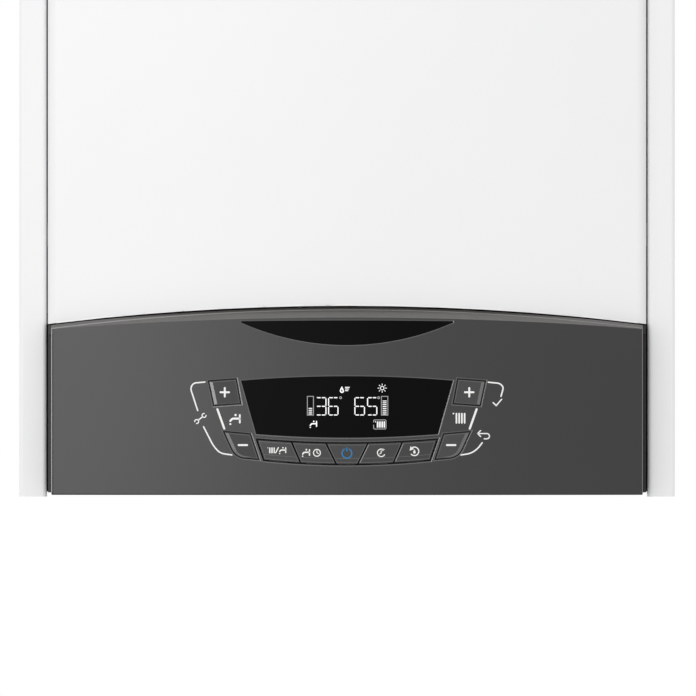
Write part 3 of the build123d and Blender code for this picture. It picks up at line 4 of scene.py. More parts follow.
import bmesh
import bpy
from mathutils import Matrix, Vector


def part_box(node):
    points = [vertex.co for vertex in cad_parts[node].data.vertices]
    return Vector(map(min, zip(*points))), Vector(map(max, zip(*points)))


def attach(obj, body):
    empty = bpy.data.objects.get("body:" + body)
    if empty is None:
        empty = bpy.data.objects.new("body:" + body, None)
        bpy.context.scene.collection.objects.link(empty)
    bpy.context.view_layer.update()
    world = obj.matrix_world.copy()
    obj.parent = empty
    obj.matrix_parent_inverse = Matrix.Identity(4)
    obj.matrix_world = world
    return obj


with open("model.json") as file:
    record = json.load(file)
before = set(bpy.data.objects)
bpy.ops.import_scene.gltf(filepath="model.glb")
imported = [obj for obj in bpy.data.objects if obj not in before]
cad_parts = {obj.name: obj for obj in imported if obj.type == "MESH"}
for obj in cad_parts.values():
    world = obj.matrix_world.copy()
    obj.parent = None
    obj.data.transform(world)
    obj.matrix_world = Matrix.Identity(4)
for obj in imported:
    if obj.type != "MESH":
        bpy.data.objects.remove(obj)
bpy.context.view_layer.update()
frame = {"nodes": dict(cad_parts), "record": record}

# Wall-hung combination boiler. Metres; x to the right, the front faces -y, z up, and the origin is
# midway between the wall screws. Outlines and marks are drawn in millimetres, as the (x, z) of a
# front view with z counted from the casing's bottom edge. A value that is written times MM is in metres.

MM = 0.001
casing_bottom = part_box("left_side_panel")[0][2]
casing_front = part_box("left_side_panel")[0][1]


# ---------------------------------------------------------------- shader nodes
def add_node(tree, kind, **settings):
    """Node with the given settings."""
    made = tree.nodes.new(kind)
    for key, value in settings.items():
        setattr(made, key, value)
    return made


def feed(tree, socket, value):
    """Links an output to a socket, or writes a constant there."""
    if isinstance(value, bpy.types.NodeSocket):
        tree.links.new(value, socket)
    else:
        socket.default_value = value


def calculate(tree, operation, first, second=0.0, clamp=False):
    """Output of a math node."""
    made = add_node(tree, "ShaderNodeMath", operation=operation, use_clamp=clamp)
    feed(tree, made.inputs[0], first)
    feed(tree, made.inputs[1], second)
    return made.outputs[0]


def ramp(tree, value, low, high):
    """Value taken from 0 at low to 1 at high, smoothly."""
    made = add_node(tree, "ShaderNodeMapRange", interpolation_type="SMOOTHSTEP")
    feed(tree, made.inputs["Value"], value)
    feed(tree, made.inputs["From Min"], low)
    feed(tree, made.inputs["From Max"], high)
    return made.outputs["Result"]


def blend_colours(tree, share, first, second):
    """Colour between two colours."""
    made = add_node(tree, "ShaderNodeMix", data_type="RGBA")
    feed(tree, made.inputs["Factor"], share)
    feed(tree, made.inputs["A"], first)
    feed(tree, made.inputs["B"], second)
    return made.outputs["Result"]


def mix_shaders(tree, share, first, second):
    """Shader between two shader nodes."""
    made = add_node(tree, "ShaderNodeMixShader")
    feed(tree, made.inputs[0], share)
    feed(tree, made.inputs[1], first.outputs[0])
    feed(tree, made.inputs[2], second.outputs[0])
    return made.outputs[0]


def piece_coordinates(tree):
    """Places on the piece itself, so that a pattern moves with it."""
    return add_node(tree, "ShaderNodeTexCoord").outputs["Object"]


def axes_of(tree, vector):
    """X, Y and Z of a vector."""
    made = add_node(tree, "ShaderNodeSeparateXYZ")
    feed(tree, made.inputs[0], vector)
    return made.outputs


# ---------------------------------------------------------------- camera, floor and light
photo_width = 0.4244
photo_centre = (0.0006, casing_bottom + 0.0906)
camera_lens = 600.0
camera_sensor = 36.0
camera_reach = 200.0
floor_drop = 1.2
floor_size = 24.0
floor_grey = (0.66, 0.66, 0.66, 1.0)
white = (1.0, 1.0, 1.0, 1.0)
room_level = 0.82
lamp_aim = (0, casing_front, casing_bottom + 0.3)
lamps = {
    "key_light": dict(azimuth=-15.5, elevation=3, distance=3.2, size=(0.9, 1.5), power=18.5),
    "fill_light": dict(azimuth=-45, elevation=8, distance=3.0, size=(1.0, 1.6), power=3.5),
    "top_light": dict(azimuth=-12, elevation=40, distance=2.8, size=(1.4, 0.7), power=10.0),
    "left_light": dict(azimuth=-125, elevation=8, distance=3.0, size=(0.9, 1.5), power=7.0),
    "right_light": dict(azimuth=125, elevation=8, distance=3.0, size=(0.9, 1.5), power=9.0),
}


def add_camera():
    """Level camera far in front, so that the front shows almost without perspective."""
    data = bpy.data.cameras.new("camera")
    data.lens = camera_lens
    data.sensor_width = camera_sensor
    data.clip_end = camera_reach
    camera = bpy.data.objects.new("camera", data)
    x, z = photo_centre
    distance = photo_width * camera_lens / camera_sensor
    camera.location = (x, casing_front - distance, z)
    camera.rotation_euler = (pi / 2, 0, 0)
    bpy.context.collection.objects.link(camera)
    bpy.context.scene.camera = camera


def add_softbox(name, azimuth, elevation, distance, size, power):
    """Rectangular lamp that looks at the casing's middle. Azimuth counts from the front, to the right."""
    data = bpy.data.lights.new(name, "AREA")
    data.shape = "RECTANGLE"
    data.size, data.size_y = size
    data.energy = power
    lamp = bpy.data.objects.new(name, data)
    turn, rise = radians(azimuth), radians(elevation)
    away = Vector((sin(turn) * cos(rise), -cos(turn) * cos(rise), sin(rise)))
    lamp.location = Vector(lamp_aim) + away * distance
    lamp.rotation_euler = away.to_track_quat("Z", "Y").to_euler()
    lamp.visible_camera = False
    bpy.context.collection.objects.link(lamp)


def add_world():
    """Even room light that cameras, mirrors and glass see as white."""
    world = bpy.data.worlds.new("studio")
    world.use_nodes = True
    tree = world.node_tree
    level = tree.nodes["Background"]
    level.inputs["Color"].default_value = white
    level.inputs["Strength"].default_value = room_level
    seen = add_node(tree, "ShaderNodeBackground")
    seen.inputs["Color"].default_value = white
    rays = add_node(tree, "ShaderNodeLightPath").outputs
    sharp = calculate(tree, "MAXIMUM", rays["Is Glossy Ray"], rays["Is Transmission Ray"])
    straight = calculate(tree, "MAXIMUM", rays["Is Camera Ray"], sharp)
    feed(tree, tree.nodes["World Output"].inputs["Surface"], mix_shaders(tree, straight, level, seen))
    bpy.context.scene.world = world


def floor_material():
    """Pale paint above, clear from below."""
    material = bpy.data.materials.new("studio_floor")
    material.use_nodes = True
    tree = material.node_tree
    paint = tree.nodes["Principled BSDF"]
    paint.inputs["Base Color"].default_value = floor_grey
    paint.inputs["Roughness"].default_value = 0.9
    clear = add_node(tree, "ShaderNodeBsdfTransparent")
    below = add_node(tree, "ShaderNodeNewGeometry").outputs["Backfacing"]
    feed(tree, tree.nodes["Material Output"].inputs["Surface"], mix_shaders(tree, below, paint, clear))
    return material


def add_floor():
    """Floor below the boiler that is only seen from above."""
    level = casing_bottom - floor_drop
    reach = floor_size / 2
    corners = [(x, y, level) for x, y in box_points(-reach, reach, -reach, reach)]
    data = bpy.data.meshes.new("floor")
    data.from_pydata(corners, [], [(0, 1, 2, 3)])
    data.materials.append(floor_material())
    floor = bpy.data.objects.new("floor", data)
    bpy.context.collection.objects.link(floor)


# ---------------------------------------------------------------- shared surface effects
brush_length = 0.03


def new_group(name, inputs, outputs):
    """Node group with named float sockets: the group, what it is given, and what it makes."""
    group = bpy.data.node_groups.new(name, "ShaderNodeTree")
    for label, value in inputs.items():
        socket = group.interface.new_socket(label, in_out="INPUT", socket_type="NodeSocketFloat")
        socket.default_value = value
    for label in outputs:
        group.interface.new_socket(label, in_out="OUTPUT", socket_type="NodeSocketFloat")
    return group, add_node(group, "NodeGroupInput").outputs, add_node(group, "NodeGroupOutput").inputs


def noise(tree, cell, detail, places=None):
    """Noise whose lumps are about one cell across."""
    made = add_node(tree, "ShaderNodeTexNoise")
    feed(tree, made.inputs["Vector"], places or piece_coordinates(tree))
    feed(tree, made.inputs["Scale"], calculate(tree, "DIVIDE", 1.0, cell))
    made.inputs["Detail"].default_value = detail
    return made.outputs["Fac"]


def grain_group():
    """Fine bumps, such as moulded plastic or powder coat has, and the shade that goes with them."""
    group, given, made = new_group("surface grain", {"Cell": 0.001, "Depth": 0.00001}, ("Height", "Shade"))
    fine = noise(group, given["Cell"], 3.0)
    feed(group, made["Height"], calculate(group, "MULTIPLY", fine, given["Depth"]))
    feed(group, made["Shade"], fine)
    return group


def cloud_group():
    """Slow change of shade over a surface, from handling, casting or rolling."""
    group, given, made = new_group("slow shade", {"Cell": 0.1}, ("Shade",))
    feed(group, made["Shade"], ramp(group, noise(group, given["Cell"], 4.0), 0.3, 0.7))
    return group


def wear_and_highlight_group():
    """Mask along edges, where paint thins and metal polishes; on moulded plastic it carries a painted
    highlight.
    """
    group, given, made = new_group("edge wear", {"Width": 0.001, "Broken": 0.5}, ("Mask",))
    softened = add_node(group, "ShaderNodeBevel", samples=4)
    feed(group, softened.inputs["Radius"], given["Width"])
    flat = add_node(group, "ShaderNodeNewGeometry")
    agree = add_node(group, "ShaderNodeVectorMath", operation="DOT_PRODUCT")
    feed(group, agree.inputs[0], softened.outputs["Normal"])
    feed(group, agree.inputs[1], flat.outputs["Normal"])
    edge = ramp(group, calculate(group, "SUBTRACT", 1.0, agree.outputs["Value"]), 0.01, 0.12)
    holes = calculate(group, "MULTIPLY", noise(group, 0.004, 3.0), given["Broken"])
    feed(group, made["Mask"], calculate(group, "SUBTRACT", edge, holes, clamp=True))
    return group


def dust_and_top_light_group():
    """Mask of the dust that settles on faces that look up; with few patches it lies evenly, and then it is
    painted light on those faces.
    """
    group, given, made = new_group("settled dust", {"Amount": 0.3, "Patches": 0.8}, ("Mask",))
    flat = add_node(group, "ShaderNodeNewGeometry")
    upward = ramp(group, axes_of(group, flat.outputs["Normal"])["Z"], 0.5, 0.95)
    bare = calculate(group, "SUBTRACT", 1.0, ramp(group, noise(group, 0.03, 5.0), 0.3, 0.75))
    patches = calculate(group, "MULTIPLY", bare, given["Patches"])
    covered = calculate(group, "MULTIPLY", upward, calculate(group, "SUBTRACT", 1.0, patches))
    feed(group, made["Mask"], calculate(group, "MULTIPLY", covered, given["Amount"]))
    return group


def brush_group():
    """Fine parallel lines of rolled, drawn or turned metal, running along X."""
    group, given, made = new_group("brush lines", {"Pitch": 0.0006}, ("Height", "Shade"))
    share = add_node(group, "ShaderNodeCombineXYZ")
    feed(group, share.inputs["X"], calculate(group, "DIVIDE", given["Pitch"], brush_length))
    feed(group, share.inputs["Y"], 1.0)
    feed(group, share.inputs["Z"], 1.0)
    stretch = add_node(group, "ShaderNodeVectorMath", operation="MULTIPLY")
    feed(group, stretch.inputs[0], piece_coordinates(group))
    feed(group, stretch.inputs[1], share.outputs[0])
    lines = noise(group, given["Pitch"], 2.0, stretch.outputs[0])
    feed(group, made["Height"], lines)
    feed(group, made["Shade"], ramp(group, lines, 0.25, 0.75))
    return group


def spangle_group():
    """Crystal patches of hot-dip zinc."""
    group, given, made = new_group("zinc spangle", {"Cell": 0.008}, ("Shade",))
    cells = add_node(group, "ShaderNodeTexVoronoi", feature="F1")
    feed(group, cells.inputs["Vector"], piece_coordinates(group))
    feed(group, cells.inputs["Scale"], calculate(group, "DIVIDE", 1.0, given["Cell"]))
    grey = add_node(group, "ShaderNodeRGBToBW")
    feed(group, grey.inputs[0], cells.outputs["Color"])
    feed(group, made["Shade"], grey.outputs[0])
    return group


effects = {
    "grain": grain_group(),
    "cloud": cloud_group(),
    "wear_and_highlight": wear_and_highlight_group(),
    "dust_and_top_light": dust_and_top_light_group(),
    "brush": brush_group(),
    "spangle": spangle_group(),
}


# ---------------------------------------------------------------- finishes
class Finish:
    """A material under construction: its shader, and what its base colour, roughness and relief add up to."""

    def __init__(self, name, colour, rough, metallic=0.0, specular=0.5, coat=0.0):
        self.material = bpy.data.materials.new(name)
        self.material.use_nodes = True
        self.tree = self.material.node_tree
        self.shader = self.tree.nodes["Principled BSDF"]
        self.colour = (*colour, 1.0)
        self.rough = rough
        self.metallic = metallic
        self.heights = []
        self.shader.inputs["Specular IOR Level"].default_value = specular
        self.shader.inputs["Coat Weight"].default_value = coat
        self.shader.inputs["Coat Roughness"].default_value = 0.05

    def effect(self, name, **values):
        """Places a shared effect and returns its outputs."""
        made = add_node(self.tree, "ShaderNodeGroup", node_tree=effects[name])
        for label, value in values.items():
            made.inputs[label].default_value = value
        return made.outputs

    def shade(self, mask, colour, strength):
        """Blends the base colour towards another by a weakened mask."""
        share = calculate(self.tree, "MULTIPLY", mask, strength)
        self.colour = blend_colours(self.tree, share, self.colour, (*colour, 1.0))

    def roughen(self, mask, amount):
        """Adds to the roughness by a mask."""
        extra = calculate(self.tree, "MULTIPLY", mask, amount)
        self.rough = calculate(self.tree, "ADD", extra, self.rough, clamp=True)

    def relieve(self, height, depth):
        """Adds relief of the given depth in metres."""
        self.heights.append(calculate(self.tree, "MULTIPLY", height, depth))

    def grain(self, cell, depth):
        """Adds fine relief and gives back the shade that goes with it."""
        fine = self.effect("grain", Cell=cell, Depth=depth)
        self.heights.append(fine["Height"])
        return fine["Shade"]

    def cloud(self, cell, colour, strength):
        """Drifts slowly towards a colour over the surface, and gives back the mask."""
        slow = self.effect("cloud", Cell=cell)["Shade"]
        self.shade(slow, colour, strength)
        return slow

    def wear_and_highlight(self, width, colour, strength, broken=0.5):
        """Shows a colour along the edges: wear on metal and paint, a painted highlight on moulded plastic."""
        self.shade(self.effect("wear_and_highlight", Width=width, Broken=broken)["Mask"], colour, strength)

    def dust_and_top_light(self, amount, colour, strength, patches=0.8):
        """Lays dust of a colour on what looks up; laid evenly, it is painted light there."""
        self.shade(self.effect("dust_and_top_light", Amount=amount, Patches=patches)["Mask"], colour, strength)

    def finish(self):
        """Connects what was added up to the shader."""
        feed(self.tree, self.shader.inputs["Base Color"], self.colour)
        feed(self.tree, self.shader.inputs["Roughness"], self.rough)
        feed(self.tree, self.shader.inputs["Metallic"], self.metallic)
        if self.heights:
            total = self.heights[0]
            for height in self.heights[1:]:
                total = calculate(self.tree, "ADD", total, height)
            bump = add_node(self.tree, "ShaderNodeBump")
            bump.inputs["Distance"].default_value = 1.0
            feed(self.tree, bump.inputs["Height"], total)
            feed(self.tree, self.shader.inputs["Normal"], bump.outputs[0])
        return self.material


def scaled(colour, share, lift=0.0):
    """Colour made darker or lighter."""
    return tuple(part * share + lift for part in colour)


def powder_coat():
    """White powder coat of the casing, with a faint orange peel."""
    coat = Finish("casing_white", (0.86, 0.862, 0.865), 0.34, specular=0.4)
    coat.roughen(coat.cloud(0.16, (0.83, 0.835, 0.84), 0.4), 0.06)
    coat.dust_and_top_light(0.25, (0.70, 0.69, 0.66), 1.0)
    coat.grain(0.0016, 0.000012)
    return coat.finish()


def moulded(name, colour, rough, specular=0.5, cell=0.0007, depth=0.00002, dust_and_top_light=0.2, patches=0.8, edge=1.35):
    """Moulded plastic: fine erosion grain, a painted highlight along the edges, and a little dust on top
    that, laid evenly, is painted light on faces that look up.
    """
    plastic = Finish(name, colour, rough, specular=specular)
    plastic.cloud(0.09, scaled(colour, 0.86), 0.6)
    # painted highlight: the edges made lighter by the edge share
    plastic.wear_and_highlight(0.0006, scaled(colour, edge, 0.004), 0.8)
    # dust on what looks up; with few patches it is even, painted light on those faces
    plastic.dust_and_top_light(dust_and_top_light, (0.42, 0.40, 0.37), 0.6, patches)
    plastic.roughen(plastic.grain(cell, depth), 0.05)
    return plastic.finish()


def gloss(name, colour, rough, specular=0.2, coat=0.0):
    """Polished moulding or glass: almost clean, with faint wipe marks."""
    polished = Finish(name, colour, rough, specular=specular, coat=coat)
    polished.roughen(polished.cloud(0.05, scaled(colour, 1.3, 0.001), 0.5), 0.05)
    polished.grain(0.003, 0.000003)
    return polished.finish()


def sheet_metal(name, colour, rough, cell, worn, spangled=False):
    """Rolled or drawn metal with brush lines of that pitch, or zinc crystals of that size."""
    metal = Finish(name, colour, rough, metallic=1.0)
    darker = scaled(colour, 0.72)
    metal.cloud(0.07, darker, 0.35)
    if spangled:
        crystals = metal.effect("spangle", Cell=cell)
        metal.shade(crystals["Shade"], darker, 0.9)
        metal.roughen(crystals["Shade"], 0.18)
    else:
        lines = metal.effect("brush", Pitch=cell)
        metal.shade(lines["Shade"], darker, 0.3)
        metal.roughen(lines["Shade"], 0.12)
        metal.relieve(lines["Height"], 0.00001)
    metal.wear_and_highlight(0.0008, worn, 0.7)
    metal.dust_and_top_light(0.25, (0.40, 0.38, 0.35), 0.5)
    return metal.finish()


def cast_metal(name, colour, rough):
    """Sand-blasted casting with polished edges."""
    metal = Finish(name, colour, rough, metallic=1.0)
    metal.cloud(0.05, scaled(colour, 0.7), 0.5)
    metal.shade(metal.grain(0.0014, 0.00009), scaled(colour, 0.8), 0.4)
    metal.wear_and_highlight(0.0012, (0.9, 0.9, 0.9), 0.7)
    metal.dust_and_top_light(0.3, (0.40, 0.38, 0.35), 0.6)
    return metal.finish()


def enamel(name, colour, rough, coat=0.3):
    """Stoved paint on steel: orange peel, chips along edges, dust."""
    paint = Finish(name, colour, rough, coat=coat)
    paint.cloud(0.08, scaled(colour, 0.8), 0.5)
    paint.wear_and_highlight(0.001, (0.5, 0.5, 0.5), 0.8, broken=0.9)
    paint.dust_and_top_light(0.35, (0.45, 0.42, 0.38), 0.7)
    paint.grain(0.002, 0.00003)
    return paint.finish()


def fibre():
    """Pressed ceramic fibre: pale, dull and lumpy."""
    felt = Finish("ceramic_fibre", (0.80, 0.77, 0.68), 0.95, specular=0.1)
    felt.shade(felt.grain(0.004, 0.0006), (0.62, 0.58, 0.48), 0.5)
    felt.grain(0.0008, 0.0002)
    return felt.finish()


def ribbed_rubber():
    """Black hose rubber with ribs of its fabric layer."""
    rubber = Finish("hose_rubber", (0.028, 0.028, 0.03), 0.62, specular=0.35)
    rubber.cloud(0.04, (0.05, 0.05, 0.05), 0.6)
    rubber.dust_and_top_light(0.4, (0.35, 0.33, 0.30), 0.7)
    waves = add_node(rubber.tree, "ShaderNodeTexWave", wave_type="BANDS", bands_direction="Z")
    feed(rubber.tree, waves.inputs["Vector"], piece_coordinates(rubber.tree))
    waves.inputs["Scale"].default_value = 110.0
    rubber.relieve(waves.outputs["Fac"], 0.0003)
    rubber.grain(0.0009, 0.00005)
    return rubber.finish()


def board_tracks(board, places):
    """Lighter lacquer over the copper tracks, raised, and round dots of solder."""
    tree = board.tree
    upright = add_node(tree, "ShaderNodeMapping")
    upright.inputs["Rotation"].default_value = (pi / 2, 0, 0)
    feed(tree, upright.inputs["Vector"], places)
    tracks = add_node(tree, "ShaderNodeTexBrick", offset=0.35, squash=0.7, squash_frequency=3)
    feed(tree, tracks.inputs["Vector"], upright.outputs[0])
    tracks.inputs["Scale"].default_value = 90.0
    tracks.inputs["Mortar Size"].default_value = 0.06
    tracks.inputs["Brick Width"].default_value = 1.1
    tracks.inputs["Row Height"].default_value = 0.28
    board.shade(tracks.outputs["Fac"], (0.05, 0.22, 0.07), 0.9)
    board.relieve(tracks.outputs["Fac"], 0.00004)
    pads = add_node(tree, "ShaderNodeTexVoronoi", feature="F1")
    feed(tree, pads.inputs["Vector"], places)
    pads.inputs["Scale"].default_value = 260.0
    solder = calculate(tree, "LESS_THAN", pads.outputs["Distance"], 0.22)
    board.shade(solder, (0.55, 0.55, 0.52), 0.8)


def circuit_board(front_mm):
    """Printed board: green lacquer behind that depth, grey and black component bodies before it."""
    board = Finish("board_green", (0.012, 0.085, 0.035), 0.38)
    tree = board.tree
    places = piece_coordinates(tree)
    board_tracks(board, places)
    axes = axes_of(tree, places)
    before = calculate(tree, "LESS_THAN", axes["Y"], -front_mm * MM)
    slots = calculate(tree, "FRACT", calculate(tree, "MULTIPLY", axes["X"], 95.0))
    pale = calculate(tree, "GREATER_THAN", slots, 0.55)
    bodies = blend_colours(tree, pale, (0.03, 0.03, 0.035, 1), (0.30, 0.31, 0.30, 1))
    board.colour = blend_colours(tree, before, board.colour, bodies)
    board.grain(0.0009, 0.00003)
    board.dust_and_top_light(0.4, (0.4, 0.38, 0.35), 0.7)
    return board.finish()


def print_ink(name, colour, glow=0.0):
    """Printed or lit marks: flat colour with a faint speckle of the print."""
    ink = Finish(name, colour, 0.5, specular=0.2)
    ink.shade(ink.grain(0.0004, 0.00001), scaled(colour, 0.86), 0.5)
    material = ink.finish()
    if glow:
        feed(ink.tree, ink.shader.inputs["Emission Color"], ink.colour)
        ink.shader.inputs["Emission Strength"].default_value = glow
    return material


panel_grey = (0.021, 0.021, 0.0205)
slot_finishes = {
    "casing_white": powder_coat(),
    "galvanised": sheet_metal(
        "galvanised", (0.58, 0.60, 0.62), 0.34, 0.007, (0.75, 0.76, 0.78), spangled=True
    ),
    "spring_steel": sheet_metal("spring_steel", (0.50, 0.51, 0.53), 0.28, 0.0004, (0.8, 0.8, 0.82)),
    # fascia: dust laid almost evenly is painted light on its faces that look up, such as the bevel of its
    # arched top; the edge share gives a strong painted highlight along its edges
    "fascia_grey": moulded("fascia_grey", panel_grey, 0.31, dust_and_top_light=0.32, patches=0.15, edge=4.5),
    "box_plastic": moulded("box_plastic", (0.024, 0.024, 0.024), 0.42, specular=0.45),
    "badge_black": gloss("badge_black", (0.001, 0.001, 0.001), 0.30, specular=0.055),
    "display_black": gloss("display_black", (0.001, 0.001, 0.001), 0.30, specular=0.05),
    "board_green": circuit_board(303.05),
    # keys: a strong painted highlight along their edges
    "key_grey": moulded("key_grey", panel_grey, 0.30, dust_and_top_light=0.05, edge=3.0),
    "flue_plastic": moulded("flue_plastic", (0.80, 0.80, 0.78), 0.42, cell=0.001, edge=1.0),
    "stainless": sheet_metal("stainless", (0.62, 0.61, 0.59), 0.22, 0.0005, (0.85, 0.85, 0.84)),
    "exchanger_shell": moulded("exchanger_shell", (0.045, 0.045, 0.047), 0.55, cell=0.0016, depth=0.00008),
    "cast_aluminium": cast_metal("cast_aluminium", (0.40, 0.40, 0.41), 0.42),
    "zinc_fixings": sheet_metal("zinc_fixings", (0.62, 0.58, 0.42), 0.30, 0.0004, (0.85, 0.85, 0.8)),
    "ceramic_fibre": fibre(),
    "ceramic": gloss("ceramic", (0.78, 0.76, 0.70), 0.18, specular=0.5, coat=0.4),
    "fan_black": moulded("fan_black", (0.018, 0.018, 0.02), 0.48, cell=0.0012, depth=0.00005),
    "silencer_black": moulded("silencer_black", (0.022, 0.022, 0.024), 0.55, cell=0.0012, depth=0.00006),
    "vessel_red": enamel("vessel_red", (0.36, 0.018, 0.014), 0.34),
    "hydraulic_grey": moulded("hydraulic_grey", (0.075, 0.077, 0.08), 0.55, cell=0.0015, depth=0.00008),
    "motor_grey": enamel("motor_grey", (0.16, 0.165, 0.175), 0.42, coat=0.1),
    "brass": sheet_metal("brass", (0.68, 0.47, 0.17), 0.26, 0.0004, (0.9, 0.72, 0.35)),
    "copper": sheet_metal("copper", (0.70, 0.30, 0.16), 0.24, 0.0006, (0.92, 0.55, 0.38)),
    "hose_rubber": ribbed_rubber(),
    "gland_black": moulded("gland_black", (0.016, 0.016, 0.016), 0.5),
    "knob_red": moulded("knob_red", (0.48, 0.012, 0.010), 0.36, edge=1.2),
    "knob_blue": moulded("knob_blue", (0.012, 0.07, 0.36), 0.36, edge=1.2),
}

# for the thin pieces on the front: a white and three lighter greys that are painted highlights, a near-black
# that is painted shade in the gaps, then print and the lit display
lip_highlight_white = moulded("lip_highlight_white", (0.95, 0.95, 0.95), 0.35, depth=0.000002, dust_and_top_light=0.0, edge=1.0)
edge_highlight_grey = moulded("edge_highlight_grey", (0.068, 0.068, 0.066), 0.15, specular=0.8, depth=0.000002, dust_and_top_light=0.0)
facet_highlight_grey = moulded("facet_highlight_grey", (0.13, 0.13, 0.128), 0.16, specular=0.8, depth=0.000002, dust_and_top_light=0.0)
bright_highlight_grey = moulded("bright_highlight_grey", (0.27, 0.27, 0.268), 0.3, specular=0.6, depth=0.000002, dust_and_top_light=0.0)
gap_shade_black = moulded("gap_shade_black", (0.004, 0.004, 0.004), 0.6, specular=0.1, dust_and_top_light=0.0)
ink_white = print_ink("ink_white", (0.90, 0.90, 0.88))
ink_blue = print_ink("ink_blue", (0.032, 0.19, 0.42))
lcd_white = print_ink("lcd_white", (0.72, 0.73, 0.72), glow=0.6)
lcd_dim = print_ink("lcd_dim", (0.34, 0.35, 0.34), glow=0.2)
# for the marks behind the cover
sign_yellow = print_ink("sign_yellow", (0.70, 0.42, 0.02))
sign_black = print_ink("sign_black", (0.012, 0.012, 0.012))
label_white = print_ink("label_white", (0.72, 0.72, 0.70))
relief_grey = moulded("relief_grey", (0.30, 0.31, 0.32), 0.4, depth=0.000005, dust_and_top_light=0.0)


def dress_nodes():
    """Gives each node of the part its slot's finish."""
    for entry in frame["record"]["subparts"]:
        mesh = frame["nodes"][entry["node"]].data
        mesh.materials.clear()
        mesh.materials.append(slot_finishes[entry["material_slot"]])


# ---------------------------------------------------------------- thin pieces on convex faces
mark_base, mark_top = 0.01 * MM, 0.03 * MM
mitre_limit = 0.4


def convex_face(crest, half, crown):
    """Depth of a convex face's crest and the radius that gives it that crown."""
    return (crest, (half**2 + crown**2) / (2 * crown))


panel_low, panel_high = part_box("fascia")
panel_half = panel_high[0]
panel_crest = panel_low[1]
panel_face = convex_face(panel_crest, panel_half, 8 * MM)
cover_low, cover_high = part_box("front_cover")
cover_face = convex_face(cover_low[1], cover_high[0], 6 * MM)


def face_depth(face, x, proud):
    """Depth of a convex face at x, raised by proud."""
    crest, radius = face
    return crest + radius - sqrt((radius + proud) ** 2 - x**2)


def add_band(mesh, row, other, material=0):
    """Faces between two closed rows of corners."""
    made = []
    for index in range(len(row)):
        after = (index + 1) % len(row)
        made.append(mesh.faces.new((row[index], row[after], other[after], other[index])))
        made[-1].material_index = material
    return made


def add_piece(mesh, name, body, materials):
    """Object made of a finished mesh, riding on its body."""
    bmesh.ops.recalc_face_normals(mesh, faces=mesh.faces)
    data = bpy.data.meshes.new(name)
    mesh.to_mesh(data)
    mesh.free()
    for material in materials:
        data.materials.append(material)
    made = bpy.data.objects.new(name, data)
    bpy.context.collection.objects.link(made)
    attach(made, body)


class Plates:
    """Thin closed plates on a convex face, gathered into one mesh.

    They may lie proud of the face or, with a negative value, behind it, and climb outwards from a
    place across it. On a back face, outward is -1.
    """

    def __init__(self, proud=0.0, climb=0.0, start_mm=0.0, face=panel_face, outward=1):
        self.mesh = bmesh.new()
        self.outward = outward
        self.face = face
        self.proud = proud
        self.climb = climb
        self.start = start_mm * MM

    def corners(self, points_mm, height):
        """Mesh corners for front-view points, at that height above the carrying face."""
        made = []
        for x_mm, z_mm in points_mm:
            x = x_mm * MM
            proud = self.outward * (self.proud + self.climb * (abs(x) - self.start) + height)
            place = (x, face_depth(self.face, x, proud), casing_bottom + z_mm * MM)
            made.append(self.mesh.verts.new(place))
        return made

    def fill(self, points_mm, base=mark_base, top=mark_top):
        """Plate with that outline."""
        low, high = self.corners(points_mm, base), self.corners(points_mm, top)
        self.mesh.faces.new(high)
        self.mesh.faces.new(list(reversed(low)))
        add_band(self.mesh, low, high)

    def frame(self, outline, other, height, other_height, base=mark_base):
        """Closed band between two outlines, each with its own height. Gives back its four sides."""
        rows = [self.corners(outline, height), self.corners(other, other_height)]
        rows += [self.corners(other, base), self.corners(outline, base)]
        return [add_band(self.mesh, row, after) for row, after in zip(rows, rows[1:] + rows[:1])]

    def stroke(self, points_mm, width):
        """Ribbon of that width along the points, with round ends."""
        left, right = ribbon(points_mm, width, closed=False)
        self.fill(round_end(left[0], right[0]) + right + round_end(right[-1], left[-1]) + left[::-1])

    def loop(self, points_mm, width):
        """Closed ribbon of that width along the points. Gives back its four sides."""
        return self.frame(*ribbon(points_mm, width, closed=True), mark_top, mark_top)

    def cap(self, outline, widths, drop, depth):
        """Key cap: flat face inside a bevelled border with a width for each side; the border is a painted
        highlight, lighter still on the wide sides.
        """
        face = self.corners(inset(outline, widths), 0)
        rim = self.corners(outline, -drop)
        root = self.corners(outline, -depth)
        self.mesh.faces.new(face)
        self.mesh.faces.new(list(reversed(root)))
        for side, width in zip(add_band(self.mesh, face, rim, material=1), widths):
            if width > edge_width:
                side.material_index = 2
        add_band(self.mesh, rim, root)

    def piece(self, name, body, slot, *materials):
        """Makes the object."""
        add_piece(self.mesh, name, body, materials)


# ---------------------------------------------------------------- points of outlines
def turned(centre, spoke, turn):
    """End of a spoke that has turned about its centre."""
    x = centre.x + spoke.x * cos(turn) - spoke.y * sin(turn)
    z = centre.y + spoke.x * sin(turn) + spoke.y * cos(turn)
    return (x, z)


def ribbon(points, width, closed):
    """Left and right edge of a ribbon along the points."""
    last = len(points) - 1
    left, right = [], []
    for index, point in enumerate(points):
        before = points[index - 1] if index or closed else points[0]
        after = points[(index + 1) % len(points)] if index < last or closed else points[-1]
        here = Vector(point)
        arms = (here - Vector(before), Vector(after) - here)
        ways = [arm.normalized() for arm in arms if arm.length]
        along = sum(ways, Vector((0, 0))).normalized()
        mitre = max(mitre_limit, abs(along.dot(ways[0])))
        across = Vector((-along.y, along.x)) * width / 2 / mitre
        left.append(tuple(here + across))
        right.append(tuple(here - across))
    return left, right


def round_end(first, last, steps=5):
    """Points of the half circle that leads from one corner of a ribbon's end round to the other."""
    middle = (Vector(first) + Vector(last)) / 2
    spoke = Vector(first) - middle
    return [turned(middle, spoke, pi * index / steps) for index in range(1, steps)]


